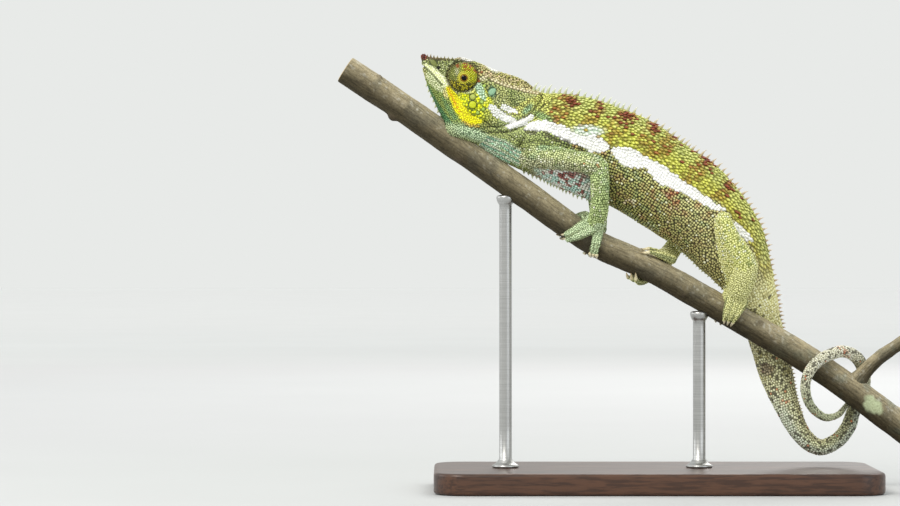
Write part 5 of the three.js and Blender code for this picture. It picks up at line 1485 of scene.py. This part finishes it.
def scale_mesh(sides, profile, roots, normals, ways, wide, long, high, seed, squareness):
    """Points, faces, height shares and flat outline of many scales of one kind. Each is a stack of rings
    round its root's normal, drawn out along the lie by its lean, and closed by a point on top."""
    luck = np.random.default_rng(seed)
    n = len(roots)
    ways = unit(ways - normals * (ways * normals).sum(1, keepdims=True))
    aside = np.cross(normals, ways)
    t = turns(sides)[None] + np.pi / sides + 0.25 * (luck.random((n, 1)) - 0.5)
    rim = 1 + 0.09 * (luck.random((n, sides)) - 0.5)
    rim = rim / np.maximum(np.abs(np.cos(t)), np.abs(np.sin(t))) ** squareness
    r, z, lean = np.array(profile)[:-1].T
    _, top, top_lean = profile[-1]
    x = (rim * np.cos(t))[:, None] * r[:, None] * long[:, None, None] + lean[:, None] * high[:, None, None]
    y = (rim * np.sin(t))[:, None] * r[:, None] * wide[:, None, None]
    rings = xyz(x, y, z[:, None] * high[:, None, None]).reshape(n, -1, 3)
    tip = np.stack([top_lean * high, 0 * high, top * high], -1)[:, None]
    local = np.concatenate([rings, tip], 1)
    points = (roots[:, None] + local[..., :1] * ways[:, None] + local[..., 1:2] * aside[:, None]
              + local[..., 2:] * normals[:, None])
    here = np.arange(sides)
    ahead = (here + 1) % sides
    row = np.arange(len(r) - 1)[:, None] * sides
    quad = np.stack([row + here, row + ahead, row + ahead + sides, row + here + sides], -1).reshape(-1, 4)
    last = (len(r) - 1) * sides
    fan = np.stack([last + here, last + ahead, np.full(sides, last + sides)], 1)
    base = (np.arange(n) * local.shape[1])[:, None, None]
    heights = np.broadcast_to(np.append(np.repeat(z, sides), 1), (n, local.shape[1]))
    flat = np.stack([r[:, None] * np.cos(t[0]), r[:, None] * np.sin(t[0])], -1).reshape(-1, 2)
    faces = [(quad + base).reshape(-1, 4), (fan + base).reshape(-1, 3)]
    return points, faces, heights, np.append(flat, [[0, 0]], 0)


def coat(name, chosen, parts, place, material):
    """One coat piece of the chosen scales: joined shapes, tones from ground to tip, and the map OFBake. On
    it every run has a strip as wide as its share of the scales, with the way along the run up it and the
    angle across it. The two turrets lie side by side in a strip of their own."""
    part = {key: value[chosen] for key, value in parts.items()}
    runs = place["run"][chosen] + TURRET_RUN * part["eye"]
    u, v = place["angle"][chosen] / (2 * np.pi) + 0.5, place["mm"][chosen].astype(float)
    start = 0.0
    for run in np.unique(runs):
        mine = runs == run
        if run >= TURRET_RUN:
            a, b = head_place(part["root"][mine])
            u[mine] = (a - EYE["a"]) / 30 + np.where(part["root"][mine][:, 1] > 0, 0.75, 0.25)
            v[mine] = b
        v[mine] = (v[mine] - v[mine].min()) / max(np.ptp(v[mine]), 1e-6)
        u[mine] = start + mine.mean() * (0.02 + 0.96 * u[mine])
        start += mine.mean()
    centres = np.stack([0.003 + 0.994 * u, 0.003 + 0.994 * v], 1)
    shells, tones, maps = [], [], []
    for kind, (sides, profile) in KINDS.items():
        pick = part["kind"] == kind
        if not pick.any():
            continue
        shape = [part[key][pick] for key in ("root", "normal", "way", "wide", "long", "high")]
        points, faces, heights, flat = scale_mesh(sides, profile, *shape, kind + 7, 0.35 if kind == 0 else 0)
        # The tone runs from the ground tone at a scale's base to the tip tone at its top: partly the scales'
        # own colours, partly painted shade low between neighbouring scales.
        shade = ease(0.25, 0.95, heights)[..., None]
        ground, tip = part["ground"][pick][:, None], part["tip"][pick][:, None]
        tones.append((ground * (1 - shade) + tip * shade).reshape(-1, 3))
        maps.append((centres[pick][:, None] + PATCH * flat).reshape(-1, 2))
        shells.append((points.reshape(-1, 3), faces))
    points, faces = joined(shells)
    item = piece(name, points, faces, material, np.concatenate(tones))
    corners = np.concatenate([f.ravel() for f in faces])
    layer = item.data.uv_layers.new(name="OFBake")
    layer.data.foreach_set("uv", np.concatenate(maps)[corners].astype(np.float32).ravel())
    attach(item, "root")


def wavering(share, count):
    """Random factors about 1."""
    return 1 + share * luck.standard_normal(count).clip(-2, 2)


def scale_set(roots, normal, way, wide, long, high, kind, tones, on_eye=False):
    """The properties of a set of scales, one value for each."""
    n = len(roots)
    tip, ground = tones
    return {"root": roots, "normal": normal, "way": way, "wide": wide, "long": long, "high": high,
            "kind": np.broadcast_to(kind, n), "ground": ground, "tip": tip, "eye": np.full(n, on_eye)}


normal = unit(normals[quads[face]].mean(1))
place = places_of(roots)
tip, ground = markings(roots, place, 9)
pale = ease(0.75, 0.95, tip.min(1))
# Painted highlight: the tips are brightened by 12 percent, up to white, with a random spread.
tip = np.minimum(1.12 * tip * wavering(mix(0.16, 0.03, pale), len(roots))[:, None], 1)
wide, long = size * np.where(kind == 1, 0.92, 1.04), size * np.where(kind == 1, 1.3, 1.06)
height = height * (1 - 0.45 * pale * (kind == 0)) * (size / (0.52 * spacing)) * wavering(0.15, len(roots))
dark = (kind == 1) & (tip[:, 0] > 1.8 * tip[:, 1])
spread = scale_set(roots, normal, place["way"], wide, long, height * (1 + 0.4 * dark), kind, (tip, ground))

own_normal = unit(normals[quads[own_face]].mean(1))
lift = OWN[:, 6:]
own_normal = unit(own_normal * (1.1 - np.abs(lift)) + lift * (-0.2, 0, 1) + np.abs(lift) * 0.3 * own_normal)
own_place = places_of(own_roots)
own = scale_set(own_roots, own_normal, own_place["way"], OWN[:, 3], OWN[:, 2], OWN[:, 4],
                OWN[:, 5].astype(int), markings(own_roots, own_place, 11))

# Rings of fine granules round the eye turrets.
turret_roots, turret_normals = [], []
for side in (-1, 1):
    radius, dome = EYE["radius"] - 0.3, EYE["height"] - 0.3
    t = np.arccos(np.clip(np.arange(TURRET_RINGS["start"], radius, 0.02) / radius, 0, 1))
    arc = np.concatenate([[0], np.cumsum(np.hypot(np.diff(radius * np.cos(t)), np.diff(dome * np.sin(t))))])
    for number, way in enumerate(np.arange(TURRET_RINGS["first"], arc[-1] - 0.1, TURRET_RINGS["step"])):
        p = np.interp(way, arc, t)
        r, z = radius * np.cos(p), dome * np.sin(p) ** 0.94
        many = int(2 * np.pi * r / TURRET_RINGS["apart"])
        turn = (np.arange(many) + 0.5 * (number % 2)) / many * 2 * np.pi
        turret_roots.append(leaned(xyz(r * np.cos(turn), side * (EYE["side"] + z), r * np.sin(turn))))
        slope = np.cos(p) / radius
        turret_normals.append(unit(xyz(slope * np.cos(turn), side * np.sin(p) / dome, slope * np.sin(turn))))
turret_roots, turret_normals = np.concatenate(turret_roots), np.concatenate(turret_normals)
n = len(turret_roots)
tip, ground = turret_tones(turret_roots, luck.random(n))
size_of, high_of = np.full(n, TURRET_RINGS["size"]), np.full(n, TURRET_RINGS["high"])
# The granules' ground is darkened by 15 percent: partly their own colour, partly painted shade between them.
granules = scale_set(turret_roots, turret_normals, np.tile(WAYS[0], (n, 1)), size_of, size_of, high_of, 0,
                     (tip, ground * 0.85), on_eye=True)
sets, places = (spread, own, granules), (place, own_place, places_of(turret_roots))
parts = {key: np.concatenate([one[key] for one in sets]) for key in spread}
place = {key: np.concatenate([one[key] for one in places]) for key in place}

scale_finish = surface("scales", (0.56, 0.4), 0.36, speckle(2400, 3),
                       ((0.32, (206, 204, 196)), (0.6, WHITE)), 0.8, bump=(0.12, 0.0001))
on_head = (place["run"] == 0) & ~parts["eye"]
body = (place["run"] == 1) & ~parts["eye"]
limb = named(place, "arm") | named(place, "leg")
left, row = parts["root"][:, 1] <= 0, place["row"]
COATS = {
    "coat_head_left": on_head & left,
    "coat_head_right": on_head & ~left,
    "coat_turrets": parts["eye"],
    "coat_neck": body & (row < 1.9),
    "coat_trunk_front": body & (row >= 1.9) & (row < 4.2),
    "coat_trunk_middle": body & (row >= 4.2) & (row < 6.6),
    "coat_trunk_rear": body & (row >= 6.6) & (row < 9.5),
    "coat_tail_base": body & (row >= 9.5) & (row < 16),
    "coat_tail_coil": body & (row >= 16),
    "coat_limbs": limb,
    "coat_feet": (place["run"] > 1) & ~limb & ~parts["eye"]}
for name, chosen in COATS.items():
    coat(name, chosen, parts, place, scale_finish)


# ================================================================ back crest and cones
# A row of curved horny spines runs down the middle of the back, and softer white cones stand in a row under
# chin, throat and belly. They grow from the skin.

# First and last row of the spine, radii, heights and spacings at both, and the side: 1 above, -1 below.
SPINE_ROWS = [
    (0.9, 10.4, (0.75, 0.55), (4.2, 2.4), (2.8, 2.1), 1),
    (10.4, 14.5, (0.55, 0.4), (2.0, 0.8), (2.1, 1.7), 1),
    (1.25, 3.2, (0.65, 0.6), (1.8, 1.7), (2.0, 2.0), -1),
    (6.6, 9.3, (0.55, 0.5), (1.3, 1.3), (2.0, 2.2), -1)]
CHIN_CONE = {"radius": 0.62, "height": 1.45}


def spine_row(start, end, radii, heights, spacings, side):
    """Roots, directions, radii and heights of a row of spines, each a spacing on from the last."""
    found, at = [], start
    while at < end:
        share = (at - start) / (end - start)
        step = spine(at + 0.02)[:3] - spine(at - 0.02)[:3]
        along = unit(step)
        up = np.cross(along, ACROSS) * side
        root = spine(at)[:3] + up * (spine(at)[4] - COAT_DEPTH)
        found.append([*root, *along, *up, mix(*radii, share), mix(*heights, share)])
        at += mix(*spacings, share) / (np.linalg.norm(step) / 0.04)
    return np.array(found)


chin_a = np.arange(8, 41, 2.6)
down = head_point(0, -1, 0) - head_point(0, 0, 0)
ahead = head_point(1, 0, 0) - head_point(0, 0, 0)
chin_roots = head_point(chin_a, HEAD_LINE["bottom"](chin_a) + COAT_DEPTH, 0)
chin_cone = [*ahead, *down, CHIN_CONE["radius"], CHIN_CONE["height"]]
chin = np.column_stack([chin_roots, np.tile(chin_cone, (len(chin_a), 1))])
rows = np.concatenate([*[spine_row(*row) for row in SPINE_ROWS], chin])
hits = on_skin(rows[:, :3])[0]
place = places_of(hits)
back = (rows[:, 8] > 0)[:, None]
rear = ease(2.6, 6.5, place["row"] * (place["run"] == 1) + 0.7 * noise(hits, 6, 77))[:, None]
tip = np.where(back, mix(srgb(232, 236, 214), srgb(232, 216, 196), rear), srgb(240, 242, 216))
ground = np.where(back, mix(srgb(188, 194, 150), srgb(190, 166, 128), rear), srgb(180, 186, 140))
n = len(rows)
parts = scale_set(hits, unit(rows[:, 6:9]), rows[:, 3:6], rows[:, 9] * 0.85, rows[:, 9] * 1.3,
                  rows[:, 10] * (1 + 0.14 * luck.standard_normal(n)), 3, (tip, ground))
coat("crest_and_cones", np.ones(n, bool), parts, place, scale_finish)


# ================================================================ claws
# Small curved horn claws, one on every toe, amber at the root and dark at the tip. They grow out of the
# toes' ends.

horn = surface("horn", (0.36, 0.26), 0.5, speckle(1800, 2), ((0.3, (200, 190, 176)), (0.65, WHITE)), 0.7)
CLAW = {"length": 2.8, "root": 0.8, "tip": 0.08}
for name, foot in FEET.items():
    shells, tones, replaced = [], [], []
    for bundle_name in ("outer", "inner"):
        bundle = foot[bundle_name]
        for index in range(bundle[0]):
            path = toe_run(foot, bundle, index)
            pace = np.linalg.norm(path(1.0)[:3] - path(0.95)[:3]) / 0.05
            tip_radius = bundle[5][1]
            start = 1 + 0.1 * tip_radius / pace
            end = 1 + (0.68 * tip_radius + 0.3 + CLAW["length"]) / pace
            share = np.linspace(0, 1, 14)
            body_of = path(mix(start, end, share))
            thick = CLAW["root"] * np.sqrt(np.clip(1 - share, 0, 1)) * (1 - 0.35 * share) + CLAW["tip"]
            body_of[:, 3:] = thick[:, None]
            read = track(body_of)
            rings = sweep(read, np.linspace(0, 13, 22), 14, bundle_spread(foot, bundle)[2],
                          ends=(True, True))
            shells.append(shell(rings))
            depth = np.linspace(0, 1, len(rings)).repeat(14)
            tones.append(mix(srgb(236, 226, 186), srgb(158, 136, 98),
                             ease(0.3, 1, np.append(depth, [0, 1]))[:, None]))
            replaced.append(f"{name}_{bundle_name}_claw_{index + 1}")
    claws = piece(f"claws_{name}", *joined(shells), horn, np.concatenate(tones))
    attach(claws, "root")
    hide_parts(*replaced)


# ================================================================ eyes
# Wet glossy eyeballs, of which only the black pupil and a thin golden iris ring show in the lids' small
# opening.

eye_finish = surface("wet_eye", 0.15, 0.12, speckle(5200, 2), ((0.35, (170, 150, 120)), (0.6, WHITE)), 0.8)
shader = eye_finish.node_tree.nodes["Principled BSDF"]
shader.inputs["Coat Weight"].default_value = 0.12
shader.inputs["Coat Roughness"].default_value = 0.03
for side, word in ((-1, "left"), (1, "right")):
    turn = np.radians(np.concatenate([np.linspace(1, 50, 50), np.linspace(54, 178, 32)]))
    radius = EYE["ball"] * (1 + 0.05 * np.exp(-((turn / 0.42) ** 2)))
    out, rise = (radius * np.sin(turn))[:, None], (radius * np.cos(turn))[:, None]
    t = turns(64) * -side
    deep = EYE["side"] + EYE["height"] + 0.2 - EYE["ball"]
    middle = head_point(EYE["a"], EYE["b"], 0) + (EYE["gaze"][0], 0, EYE["gaze"][1])
    rings = middle + xyz(out * np.cos(t), side * (deep + rise), out * np.sin(t))
    across = np.append(out.repeat(64), [0, 3])[:, None]
    tones = mix(srgb(6, 5, 4), srgb(196, 150, 40), ease(1.36, 1.42, across))
    tones = mix(tones, srgb(60, 44, 22), ease(1.55, 1.7, across))
    ball = piece(f"eye_{word}", *shell(rings), eye_finish, tones)
    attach(ball, "root")
    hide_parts(f"eyeball_{word}")


size = {"cad": cad_box, "shown": [list(corner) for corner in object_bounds()]}
